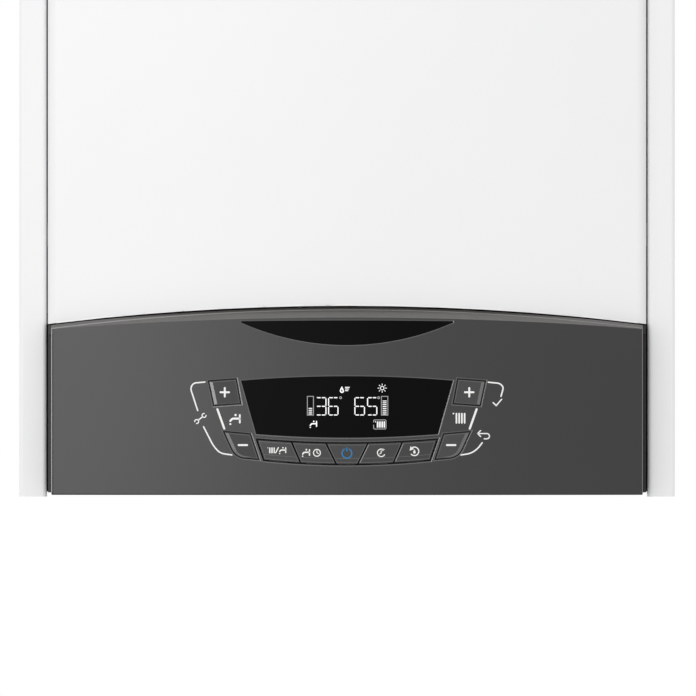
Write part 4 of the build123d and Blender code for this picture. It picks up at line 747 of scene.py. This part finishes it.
def inset(outline, widths):
    """Corners of a convex outline after each side has moved inwards by its own width."""
    count = len(outline)
    centre = sum((Vector(point) for point in outline), Vector((0, 0))) / count
    lines = []
    for index, width in enumerate(widths):
        start, end = Vector(outline[index]), Vector(outline[(index + 1) % count])
        along = (end - start).normalized()
        inward = Vector((-along.y, along.x))
        if inward.dot(centre - start) < 0:
            inward = -inward
        lines.append((inward, inward.dot(start) + width))
    made = []
    for (first, reach), (second, other_reach) in zip(lines[-1:] + lines[:-1], lines):
        area = first.x * second.y - first.y * second.x
        x = (reach * second.y - other_reach * first.y) / area
        z = (first.x * other_reach - second.x * reach) / area
        made.append((x, z))
    return made


def evenly(outline, width):
    """Outline moved inwards by one width all round, or outwards where it is negative."""
    return inset(outline, [width] * len(outline))


def arc(x, z, radius, start, end, steps=16):
    """Points along an arc, in degrees from +x towards +z."""
    turns = [radians(start + (end - start) * index / steps) for index in range(steps + 1)]
    return [(x + radius * cos(turn), z + radius * sin(turn)) for turn in turns]


def circle(x, z, radius, steps=20):
    """Points round a circle."""
    return arc(x, z, radius, 0, 360, steps)[:-1]


def arched(start, end, half, ends, middle, steps=12):
    """Points from start to end along the arc through (-half, ends), (0, middle) and (half, ends)."""
    rise = middle - ends
    radius = (half**2 + rise**2) / (2 * rise)
    made = []
    for index in range(steps + 1):
        x = start + (end - start) * index / steps
        made.append((x, middle - radius + copysign(sqrt(radius**2 - x**2), radius)))
    return made


def rounded(points, radius, steps=5):
    """The same run of points with its inner corners rounded."""
    made = [points[0]]
    for before, corner, after in zip(points, points[1:], points[2:]):
        here = Vector(corner)
        back, ahead = Vector(before) - here, Vector(after) - here
        reach = min(radius, back.length * 0.5, ahead.length * 0.5)
        start, end = here + back.normalized() * reach, here + ahead.normalized() * reach
        for index in range(steps + 1):
            share = index / steps
            made.append(tuple(start * (1 - share) ** 2 + here * 2 * share * (1 - share) + end * share**2))
    return made + [points[-1]]


def filleted(before, corner, after, radius, steps=8):
    """Points of the round corner between two straight sides."""
    here = Vector(corner)
    back, ahead = (Vector(before) - here).normalized(), (Vector(after) - here).normalized()
    half_angle = back.angle(ahead) / 2
    centre = here + (back + ahead).normalized() * radius / sin(half_angle)
    start = here + back * radius / tan(half_angle) - centre
    sweep = pi - 2 * half_angle
    if start.x * ahead.y - start.y * ahead.x < 0:
        sweep = -sweep
    return [turned(centre, start, sweep * index / steps) for index in range(steps + 1)]


def box_points(x0, x1, z0, z1):
    """Corners of an upright rectangle."""
    return [(x0, z0), (x1, z0), (x1, z1), (x0, z1)]


def centred_box(x, z, half_width, half_height):
    """Corners of an upright rectangle about its middle."""
    return box_points(x - half_width, x + half_width, z - half_height, z + half_height)


def mirrored(points, hand):
    """Points on the left (-1) or the right (1) from points given on the right."""
    return [(hand * x, z) for x, z in points]


# ---------------------------------------------------------------- outlines of keys, display and badge
hands = ((-1, "hot_water"), (1, "heating"))
row_names = ("mode", "comfort", "power", "auto", "reset")
plus_corners = [(83.65, 70.1), (67.65, 71.3), (65.05, 57.1), (80.65, 56.0)]
minus_outer_top, minus_inner_top = (74.3, 39.3), (59.0, 37.9)
minus_inner_low, minus_outer_low = (54.15, 23.3), (67.6, 24.6)
minus_round = 9.0
row_steps, row_corner_rounds = 4, 4
row_top = dict(half=54.6, ends=34.8, middle=32.5)
row_bottom = dict(half=50.4, ends=22.6, middle=20.0)
row_top_stops = (-54.6, -34.3, -13.8, 13.8, 34.3, 54.6)
row_bottom_stops = (-50.4, -29.0, -7.8, 7.8, 29.0, 50.4)
window_top = dict(half=64.5, ends=70.8, middle=73.5)
window_bottom = dict(half=55.3, ends=38.2, middle=36.0)
badge_top = dict(half=64.4, ends=106.8, middle=107.3)
badge_bottom = dict(half=64.4, ends=106.2, middle=92.4)


def plus_outline(hand):
    """Upper corner key."""
    return mirrored(plus_corners, hand)


def minus_outline(hand):
    """Lower corner key, round on its lower outer side."""
    low = filleted(minus_inner_low, minus_outer_low, minus_outer_top, minus_round)
    return mirrored([minus_outer_top, minus_inner_top, minus_inner_low] + low, hand)


def band_outline(top, bottom):
    """Outline between an upper and a lower arc."""
    upper = arched(-top["half"], top["half"], **top)
    return upper + arched(bottom["half"], -bottom["half"], **bottom)


def cut_x(stop, z):
    """Place across of a slanted cut between the middle keys at that height."""
    share = (z - row_bottom["ends"]) / (row_top["ends"] - row_bottom["ends"])
    return row_bottom_stops[stop] + (row_top_stops[stop] - row_bottom_stops[stop]) * share


def row_corner(stop, edge, aside, above):
    """Place across where an arched edge, moved by above, meets a cut, moved by aside, found in rounds."""
    x = row_bottom_stops[stop]
    for _ in range(row_corner_rounds):
        x = cut_x(stop, arched(x, x, **edge, steps=1)[0][1] + above) + aside
    return x


def row_key_outline(index, margin):
    """Middle key: the band between two slanted cuts, less a margin all round."""
    ends = []
    for edge, above in ((row_top, -margin), (row_bottom, margin)):
        left = row_corner(index, edge, margin, above)
        ends.append((left, row_corner(index + 1, edge, -margin, above)))
    (top_left, top_right), (low_left, low_right) = ends
    upper = arched(top_left, top_right, **row_top, steps=row_steps)
    lower = arched(low_right, low_left, **row_bottom, steps=row_steps)
    return [(x, z - margin) for x, z in upper] + [(x, z + margin) for x, z in lower]


def opening_outlines():
    """Outlines of the five openings that the keys stand in."""
    corners = [outline(hand) for hand in (-1, 1) for outline in (plus_outline, minus_outline)]
    return [band_outline(row_top, row_bottom)] + corners


# ---------------------------------------------------------------- caps and lines of the keys
key_proud = 0.6 * MM
key_climb = 0.055
cap_lift = 0.2 * MM
cap_drop = 0.3 * MM
cap_depth = 1.4 * MM
cap_margin = 0.06
edge_width = 0.5
facet_width = 1.8
facet_start = 0.45
row_margin = 0.85
row_line_width = 0.45
row_facet = 2.6
row_facet_width = 0.3


def corner_key(name, outline, widths):
    """Cap of a corner key: its face sinks towards the display and its outer border is a wide facet, lighter
    as a painted highlight.
    """
    inner_mm = min(abs(x) for x, z in outline)
    cap = Plates(key_proud + cap_lift, key_climb, inner_mm)
    cap.cap(evenly(outline, cap_margin), widths, cap_drop, cap_depth)
    cap.piece(f"{name}_cap", f"{name}_key", "key_grey", slot_finishes["key_grey"], edge_highlight_grey, facet_highlight_grey)


def corner_caps():
    """Caps of the four corner keys. On the lower ones the facet grows round the corner."""
    for hand, side in hands:
        corner_key(f"{side}_plus", plus_outline(hand), [edge_width] * 3 + [facet_width])
        outline = minus_outline(hand)
        count = len(outline) - 4
        shares = [facet_start + (1 - facet_start) * index / count for index in range(count)]
        growing = [facet_width * share for share in shares]
        corner_key(f"{side}_minus", outline, [edge_width] * 3 + growing + [facet_width])


def facet_line(index, lower):
    """Points a little above the lower edge of a middle key, from one slanted cut to the other."""
    left, right = (cut_x(stop, row_facet) - cut_x(stop, 0) for stop in (index, index + 1))
    made = []
    for number, (x, z) in enumerate(lower):
        share = number / (len(lower) - 1)
        made.append((x + right * (1 - share) + left * share, z + row_facet))
    return made


def row_lines():
    """Thin raised lines on the middle keys, lighter as a painted highlight, whose left ends carry a brighter
    painted highlight where they lean to the right.
    """
    for index, name in enumerate(row_names):
        lines = Plates(key_proud)
        outline = row_key_outline(index, row_margin)
        sides = lines.loop(outline, row_line_width)
        if row_top_stops[index] > row_bottom_stops[index]:
            for side in sides:
                side[-1].material_index = 1
        lines.stroke(facet_line(index, outline[row_steps + 1:]), row_facet_width)
        lines.piece(f"{name}_lines", f"{name}_key", "key_grey", edge_highlight_grey, bright_highlight_grey)


# ---------------------------------------------------------------- painted shade in gaps, rims and edges with painted highlights
rim_gap, rim_width = 0.85, 0.6
badge_rim_gap, badge_rim_width = 0.15, 0.45
rim_foot, rim_rise = 0.02 * MM, 0.09 * MM
gap_shade_inner = 0.5
gap_shade_depth = 0.4 * MM
side_highlight_sink = 0.35 * MM
side_highlight_margins, side_highlight_heights = (0.55, 0.05), (2.8, 102.4)
brow_top, brow_radius = 115.4 * MM, 1503 * MM
brow_back = panel_crest + 13 * MM
brow_slope = 0.477
brow_normal = (0.43, 0.9)
brow_drop, brow_spread = 1.4 * MM, 0.5 * MM
brow_rise = 0.06 * MM
brow_widths = (0.55 * MM, 0.2 * MM)
brow_steps = 48
lip_top = dict(half=177.0, ends=106.6, middle=117.4)
lip_bottom = dict(half=177.0, ends=105.7, middle=116.5)
strip_sink, strip_depth = 21.5 * MM, 6 * MM
strip_reach, strip_heights = (182.6, 183.15), (3.0, 112.0)
ear_sink, ear_depth = 11 * MM, 2 * MM
ear_reach, ear_heights = (179.0, 182.2), (99.0, 104.4)


def opening_gap_shades():
    """Near-black bands of painted shade in the gap round the keys."""
    gap_shades = Plates()
    for outline in opening_outlines():
        gap_shades.frame(evenly(outline, -rim_gap), evenly(outline, -gap_shade_inner), mark_top, mark_top, -gap_shade_depth)
    gap_shades.piece("opening_gap_shades", "control_panel", "fascia_grey", gap_shade_black)


def opening_rims():
    """Thin bevelled rims round the openings, the display and the badge, lighter than the fascia as a painted
    highlight.
    """
    rims = Plates()
    for outline in opening_outlines():
        rims.frame(evenly(outline, -rim_gap - rim_width), evenly(outline, -rim_gap), rim_rise, rim_foot)
    window = band_outline(window_top, window_bottom)
    rims.frame(evenly(window, -rim_width), window, rim_rise, rim_foot)
    badge = band_outline(badge_top, badge_bottom)
    outer = evenly(badge, -badge_rim_gap - badge_rim_width)
    rims.frame(outer, evenly(badge, -badge_rim_gap), rim_rise, rim_foot)
    rims.piece("opening_rims", "control_panel", "fascia_grey", edge_highlight_grey)


def side_highlights():
    """Painted highlights: light strips where the fascia's face turns into its sides."""
    highlight_plates = Plates(-side_highlight_sink)
    reach = [panel_half / MM - margin for margin in side_highlight_margins]
    for hand in (-1, 1):
        highlight_plates.fill(mirrored(box_points(*reach, *side_highlight_heights), hand), 0, side_highlight_sink)
    highlight_plates.piece("panel_side_edges", "control_panel", "fascia_grey", facet_highlight_grey)


def brow_point(x, drop, lift):
    """Point on the bevel of the arched top, that far below the arch, raised by lift."""
    top = casing_bottom + brow_top - brow_radius + sqrt(brow_radius**2 - x**2)
    forward, up = brow_normal
    return (x, brow_back - drop / brow_slope - lift * forward, top - drop + lift * up)


def brow_highlight():
    """Painted highlight: a thin light strip along the bevel of the fascia's arched top."""
    highlight_strip = bmesh.new()
    rows = []
    for index in range(brow_steps + 1):
        x = panel_half * (2 * index / brow_steps - 1)
        drop = brow_drop + brow_spread * (x / panel_half) ** 2
        width = brow_widths[0] + (brow_widths[1] - brow_widths[0]) * index / brow_steps
        section = box_points(0, width, 0, brow_rise)
        rows.append([highlight_strip.verts.new(brow_point(x, drop + along, lift)) for along, lift in section])
    for row, after in zip(rows, rows[1:]):
        add_band(highlight_strip, row, after)
    highlight_strip.faces.new(rows[0])
    highlight_strip.faces.new(list(reversed(rows[-1])))
    add_piece(highlight_strip, "panel_brow_edge", "control_panel", [bright_highlight_grey])


def cover_lip_highlight():
    """Painted highlight: a bright white band along the cover's arched lower edge, where it turns under."""
    lip = Plates(face=cover_face)
    lip.fill(band_outline(lip_top, lip_bottom))
    lip.piece("cover_lip_highlight", "cover", "casing_white", lip_highlight_white)


def side_gap_shades():
    """Near-black strips of painted shade that close the slots beside the control box, and the ears above it.
    """
    strips = Plates(-strip_sink)
    ears = Plates(-ear_sink)
    for hand in (-1, 1):
        strips.fill(mirrored(box_points(*strip_reach, *strip_heights), hand), -strip_depth, 0)
        ears.fill(mirrored(box_points(*ear_reach, *ear_heights), hand), -ear_depth, 0)
    strips.piece("side_gap_shades", "casing", "box_plastic", gap_shade_black)
    ears.piece("panel_ears", "control_panel", "box_plastic", slot_finishes["box_plastic"])


# ---------------------------------------------------------------- pictograms
digit_segments = {"3": "abgcd", "6": "afedcg", "5": "afgcd"}


def draw_dot(plates, x, z, radius):
    """Small round dot."""
    plates.fill(circle(x, z, radius, 12))


def draw_rays(plates, x, z, near, far, degrees, width):
    """Short lines that point away from a centre."""
    for turn in degrees:
        plates.stroke([arc(x, z, reach, turn, turn, 1)[0] for reach in (near, far)], width)


def draw_tap(plates, x, z, size):
    """Tap seen from the side: wall plate on the right, spout turned down on the left, knob and drop."""
    s = size
    plates.stroke([(x + 0.42 * s, z - 0.30 * s), (x + 0.42 * s, z + 0.34 * s)], 0.15 * s)
    spout = [(x + 0.42 * s, z + 0.04 * s), (x - 0.22 * s, z + 0.04 * s), (x - 0.38 * s, z - 0.16 * s)]
    plates.stroke(rounded(spout, 0.16 * s), 0.17 * s)
    draw_dot(plates, x + 0.06 * s, z + 0.34 * s, 0.1 * s)
    draw_dot(plates, x - 0.38 * s, z - 0.42 * s, 0.085 * s)


def draw_radiator(plates, x, z, width, height, ribs=4):
    """Radiator: upright ribs and the dot of its valve."""
    pitch = width / (ribs + 0.6)
    half = height / 2 - pitch * 0.3
    for index in range(ribs):
        rib_x = x - width / 2 + pitch * (index + 1.1)
        plates.stroke([(rib_x, z - half), (rib_x, z + half)], pitch * 0.6)
    draw_dot(plates, x - width / 2, z + height * 0.43, pitch * 0.3)


def draw_flame(plates, x, z, height, line=0.0):
    """Flame: a drop with a pointed top, filled or, where a line width is given, open."""
    half = height * 0.3
    lower = arc(x, z - height * 0.18, half, 180, 360, 12)
    tip = [(x, z + height * 0.5), (x - half * 0.75, z + height * 0.12)]
    outline = tip + lower + [(x + half * 0.6, z + height * 0.08)]
    if line:
        plates.loop(outline, line)
    else:
        plates.fill(outline)


def draw_digit(plates, digit, x0, x1, z0, z1, width):
    """Seven-segment digit between two corners, its level segments split in two."""
    gap = width * 0.95
    middle = (z0 + z1) / 2
    split = (x0 + x1) / 2
    level = [(x0 + gap, split - gap), (split + gap, x1 - gap)]
    runs = {
        "f": [(x0, middle + gap), (x0, z1 - gap)],
        "e": [(x0, z0 + gap), (x0, middle - gap)],
        "b": [(x1, middle + gap), (x1, z1 - gap)],
        "c": [(x1, z0 + gap), (x1, middle - gap)],
    }
    heights = {"a": z1, "g": middle, "d": z0}
    for segment in digit_segments[digit]:
        if segment in runs:
            plates.stroke(runs[segment], width)
            continue
        for start, end in level:
            plates.stroke([(start, heights[segment]), (end, heights[segment])], width)


def draw_gauge(frames, bars, x0, x1, z0, z1, lit):
    """Bar gauge in a faint frame, with so many bars lit from the bottom."""
    frame_line, bar_line = 0.42, 0.48
    pitch, foot, margin = 1.13, 0.7, 0.95
    frames.loop(box_points(x0, x1, z0, z1), frame_line)
    for index in range(lit):
        z = z0 + foot + pitch * index
        bars.stroke([(x0 + margin, z), (x1 - margin, z)], bar_line)


def turning_arrow(plates, x, z, radius, width):
    """Arrow for the sense of rotation of a motor."""
    plates.stroke(arc(x, z, radius, 210, 20, 24), width)
    tip = 1.9 * width
    plates.fill([(x + radius - tip, z + tip), (x + radius + tip, z + tip), (x + radius, z - tip)])


# ---------------------------------------------------------------- marks on the keys
plus_place, plus_inner = (74.3, 63.7), min(x for x, z in plus_corners)
minus_place, minus_inner = (63.3, 31.6), minus_inner_low[0]
sign_reach = 2.6
sign_width = 1.15


def corner_sign(name, hand, place, inner_mm, upright):
    """Plus or minus sign on a corner key."""
    sign = Plates(key_proud + cap_lift, key_climb, inner_mm)
    x, z = hand * place[0], place[1]
    sign.stroke([(x - sign_reach, z), (x + sign_reach, z)], sign_width)
    if upright:
        sign.stroke([(x, z - sign_reach), (x, z - sign_width / 2)], sign_width)
        sign.stroke([(x, z + sign_width / 2), (x, z + sign_reach)], sign_width)
    sign.piece(f"{name}_sign", f"{name}_key", "key_grey", ink_white)


def draw_mode(sign):
    """Radiator or tap."""
    draw_radiator(sign, -45.9, 28.4, 4.4, 3.6)
    sign.stroke([(-43.4, 26.9), (-41.7, 30.1)], 0.65)
    draw_tap(sign, -39.2, 28.4, 4.6)


def draw_comfort(sign):
    """Tap and clock."""
    draw_tap(sign, -25.0, 27.0, 5.2)
    sign.loop(circle(-18.3, 26.9, 2.1), 0.6)
    sign.stroke([(-18.3, 28.2), (-18.3, 26.9), (-17.3, 26.4)], 0.5)


def draw_power(sign):
    """Ring open at the top, with an upright bar."""
    sign.stroke(arc(-0.1, 26.6, 2.95, 122, 418, 28), 0.8)
    sign.stroke([(-0.1, 28.1), (-0.1, 29.9)], 0.75)


def draw_auto(sign):
    """Clock hand inside a turning arrow."""
    sign.stroke(arc(20.8, 26.9, 2.3, 60, 330, 20), 0.6)
    sign.fill([(21.4, 29.6), (21.4, 27.9), (23.0, 28.9)])
    sign.stroke([(20.8, 28.2), (20.8, 26.9), (19.9, 26.2)], 0.5)


def draw_reset(sign):
    """Flame inside an arrow that turns back."""
    sign.stroke(arc(41.0, 27.8, 2.6, -140, 130, 20), 0.65)
    sign.fill([(38.6, 30.9), (38.1, 28.2), (40.7, 29.2)])
    draw_flame(sign, 41.0, 27.7, 2.6)


def key_marks():
    """Signs on the nine keys, each riding on its own key."""
    for hand, side in hands:
        corner_sign(f"{side}_plus", hand, plus_place, plus_inner, upright=True)
        corner_sign(f"{side}_minus", hand, minus_place, minus_inner, upright=False)
    drawings = (draw_mode, draw_comfort, draw_power, draw_auto, draw_reset)
    for name, draw in zip(row_names, drawings):
        sign = Plates(key_proud)
        draw(sign)
        sign.piece(f"{name}_sign", f"{name}_key", "key_grey", ink_blue if name == "power" else ink_white)


# ---------------------------------------------------------------- marks on the fascia and the display
line_width = 0.85
short_line_width = 1.25
window_sink = 0.1 * MM
digit_places = (("3", -18.6, -12.8), ("6", -11.2, -5.5), ("6", 4.8, 10.6), ("5", 12.5, 18.1))
digit_heights, digit_width = (49.9, 60.4), 0.62
gauge_places = ((-24.1, -20.4, 4), (20.9, 24.8, 8))
gauge_heights = (49.8, 61.2)
sun_place = (21.4, 66.2)


def draw_spanner(plates):
    """Spanner with an open jaw at each end."""
    plates.stroke([(-90.2, 46.9), (-88.1, 48.6)], 0.75)
    plates.stroke(arc(-91.4, 45.9, 1.2, 265, 545, 14), 0.65)
    plates.stroke(arc(-86.9, 49.6, 1.2, 85, 365, 14), 0.65)


def draw_return(plates):
    """Arrow that turns back to the left."""
    bend = arc(85.0, 37.0, 1.6, 90, -90, 10)
    plates.stroke([(79.6, 38.6), (85.0, 38.6)] + bend + [(83.4, 35.4)], 0.7)
    plates.stroke([(81.2, 40.4), (79.4, 38.6), (81.2, 36.8)], 0.7)


def draw_tick(plates):
    """Tick."""
    plates.stroke([(88.8, 57.4), (90.7, 55.6), (94.0, 59.4)], 0.75)


def panel_marks():
    """White lines and pictograms printed on the fascia round the corner keys."""
    plates = Plates()
    for hand in (-1, 1):
        plates.stroke(mirrored([(78.8, 53.4), (74.6, 41.6)], hand), short_line_width)
    for corners, radius, steps in (
        ([(-86.4, 69.9), (-93.4, 69.3), (-95.2, 66.2), (-90.8, 52.6)], 3, 6),
        ([(85.9, 69.8), (92.9, 69.1), (95.2, 66.8), (93.6, 61.2)], 3, 6),
        ([(-87.2, 42.7), (-81.2, 31.0), (-77.2, 26.6), (-70.0, 25.6)], 7, 8),
        ([(82.2, 33.0), (79.3, 29.2), (75.0, 26.4), (69.2, 25.6)], 3, 6),
    ):
        plates.stroke(rounded(corners, radius, steps), line_width)
    draw_spanner(plates)
    draw_tap(plates, -68.2, 47.4, 7.2)
    draw_radiator(plates, 68.5, 47.9, 7.6, 6.6)
    draw_return(plates)
    draw_tick(plates)
    plates.piece("panel_marks", "control_panel", "fascia_grey", ink_white)


def display_marks():
    """Lit segments of the display, just on its glass, with the faint frames round the gauges."""
    lit, dim = Plates(-window_sink), Plates(-window_sink)
    for digit, x0, x1 in digit_places:
        draw_digit(lit, digit, x0, x1, *digit_heights, digit_width)
    for reach, z in ((1.4, 66.7), (1.0, 65.7), (0.5, 64.7)):
        lit.stroke([(-1.0, z), (reach, z)], 0.5)
    draw_flame(lit, -3.1, 65.1, 3.0, line=0.75)
    draw_tap(lit, -20.5, 44.4, 4.7)
    draw_radiator(lit, 20.3, 44.1, 6.0, 3.9, ribs=5)
    for x in (-3.9, 19.2):
        dim.loop(circle(x, 60.4, 0.6, 12), 0.45)
    for x0, x1, bars in gauge_places:
        draw_gauge(dim, lit, x0, x1, *gauge_heights, bars)
    border = [(16.2, 45.6), (16.2, 46.9), (23.7, 46.9), (23.7, 41.4), (16.2, 41.4), (16.2, 43.8)]
    dim.stroke(rounded(border, 0.7, 3), 0.45)
    lit.loop(circle(*sun_place, 1.1, 16), 0.42)
    draw_rays(lit, *sun_place, 1.9, 2.6, range(0, 360, 45), 0.38)
    lit.piece("display_segments", "control_panel", "display_black", lcd_white)
    dim.piece("display_frames", "control_panel", "display_black", lcd_dim)


# ---------------------------------------------------------------- marks behind the cover
flat_radius = 1000.0
layer = 0.03 * MM
hot_wave = ((-0.03, -0.17), (0.02, -0.10), (0.03, -0.06), (-0.03, 0.02), (-0.03, 0.06), (0.03, 0.15))
hot_strokes = [[(share + aside, rise) for aside, rise in hot_wave] for share in (-0.17, 0.0, 0.17)]
bolt = [(0.05, 0.30), (-0.07, 0.03), (0.07, 0.04), (-0.02, -0.17)]
bolt_tip = [(-0.08, -0.08), (-0.02, -0.17), (0.04, -0.08)]
triangle = [(-0.58, -1 / 3), (0.58, -1 / 3), (0, 2 / 3)]
triangle_inset, triangle_rim, symbol_line = 0.09, 0.08, 0.065
burner_sign = dict(strokes=hot_strokes, depth_mm=226, place=(45.0, 653.0), size=24.0)
box_sign = dict(strokes=[bolt, bolt_tip], depth_mm=235, place=(0.0, 50.0), size=34.0, outward=-1)
vessel_face, vessel_place = 84, (8.0, 330.0)
motors = (("fan", "fan_black", 290, -118.0, 480.0, 21.0), ("pump", "motor_grey", 262, 90.0, 150.0, 20.0))
arrow_width, ring_share, ring_width = 2.2, 1.32, 0.7
gas_valve_face, flame_place, flame_height = 210, (-118.0, 352.0), 15.0
diverter_face, diverter_z = 170, 137.0


def flat_plates(depth_mm, layers=0, outward=1):
    """Plates on a flat front (1) or back (-1) face that far before the wall, on so many layers."""
    return Plates(layers * layer, face=(-depth_mm * MM, flat_radius), outward=outward)


def warning_sign(name, body, slot, strokes, depth_mm, place, size, outward=1):
    """Yellow triangle with a black rim and symbol. On a back face it stands head down."""
    def placed(points):
        return [(place[0] + size * x, place[1] + outward * size * z) for x, z in points]

    corners = placed(triangle)
    field = flat_plates(depth_mm, 0, outward)
    field.fill(corners)
    field.piece(f"{name}_sign_field", body, slot, sign_yellow)
    lines = flat_plates(depth_mm, 1, outward)
    lines.loop(evenly(corners, size * triangle_inset), size * triangle_rim)
    for points in strokes:
        lines.stroke(placed(points), size * symbol_line)
    lines.piece(f"{name}_sign_lines", body, slot, sign_black)


def vessel_label():
    """Blank white label of the expansion vessel, with a gauge and a drop."""
    field = flat_plates(vessel_face)
    field.fill(centred_box(*vessel_place, 27, 17))
    field.piece("vessel_label", "casing", "vessel_red", label_white)
    lines = flat_plates(vessel_face, 1)
    lines.loop(centred_box(*vessel_place, 25, 15), 0.8)
    x, z = vessel_place
    gauge_x, drop_x = x - 11, x + 11
    lines.loop(circle(gauge_x, z, 8.5, 32), 1.0)
    draw_rays(lines, gauge_x, z, 5.4, 7.2, (210, 150, 90, 30, -30), 0.8)
    lines.stroke([(gauge_x, z), (gauge_x - 3.4, z + 3.0)], 1.0)
    lower = arc(drop_x, z - 3, 5.0, 160, 380, 14)
    lines.fill([(drop_x, z + 9.5), (drop_x - 4.1, z - 0.2)] + lower + [(drop_x + 4.1, z - 0.2)])
    lines.piece("vessel_label_lines", "casing", "vessel_red", sign_black)


def motor_arrow(name, slot, depth_mm, x, z, radius):
    """Turning arrow inside a ring on the front of a motor."""
    arrow = flat_plates(depth_mm)
    turning_arrow(arrow, x, z, radius, arrow_width)
    arrow.loop(circle(x, z, radius * ring_share, 48), ring_width)
    arrow.piece(f"{name}_arrow", "casing", slot, relief_grey)


def gas_valve_mark():
    """Flame on the gas valve."""
    flame = flat_plates(gas_valve_face)
    draw_flame(flame, *flame_place, flame_height)
    flame.piece("gas_valve_mark", "casing", "cast_aluminium", sign_black)


def diverter_marks():
    """Tap and radiator on the diverter block, with an arrow to each."""
    marks = flat_plates(diverter_face)
    draw_tap(marks, -134.0, diverter_z, 15.0)
    draw_radiator(marks, -76.0, diverter_z, 15.0, 13.0)
    marks.stroke([(-119.0, diverter_z), (-91.0, diverter_z)], 1.6)
    for tip, back in ((-122.0, -117.0), (-88.0, -93.0)):
        marks.fill([(tip, diverter_z), (back, diverter_z - 2.8), (back, diverter_z + 2.8)])
    marks.piece("diverter_marks", "casing", "hydraulic_grey", relief_grey)


def inner_marks():
    """Generic signs on the parts behind the cover."""
    warning_sign("burner_door", "casing", "cast_aluminium", **burner_sign)
    warning_sign("control_box", "control_panel", "box_plastic", **box_sign)
    vessel_label()
    for motor in motors:
        motor_arrow(*motor)
    gas_valve_mark()
    diverter_marks()


# ---------------------------------------------------------------- the scene
add_world()
add_floor()
for lamp, values in lamps.items():
    add_softbox(lamp, **values)
add_camera()
dress_nodes()
corner_caps()
row_lines()
opening_gap_shades()
opening_rims()
side_highlights()
brow_highlight()
cover_lip_highlight()
side_gap_shades()
key_marks()
panel_marks()
inner_marks()
display_marks()
bpy.context.scene.view_settings.view_transform = "Standard"
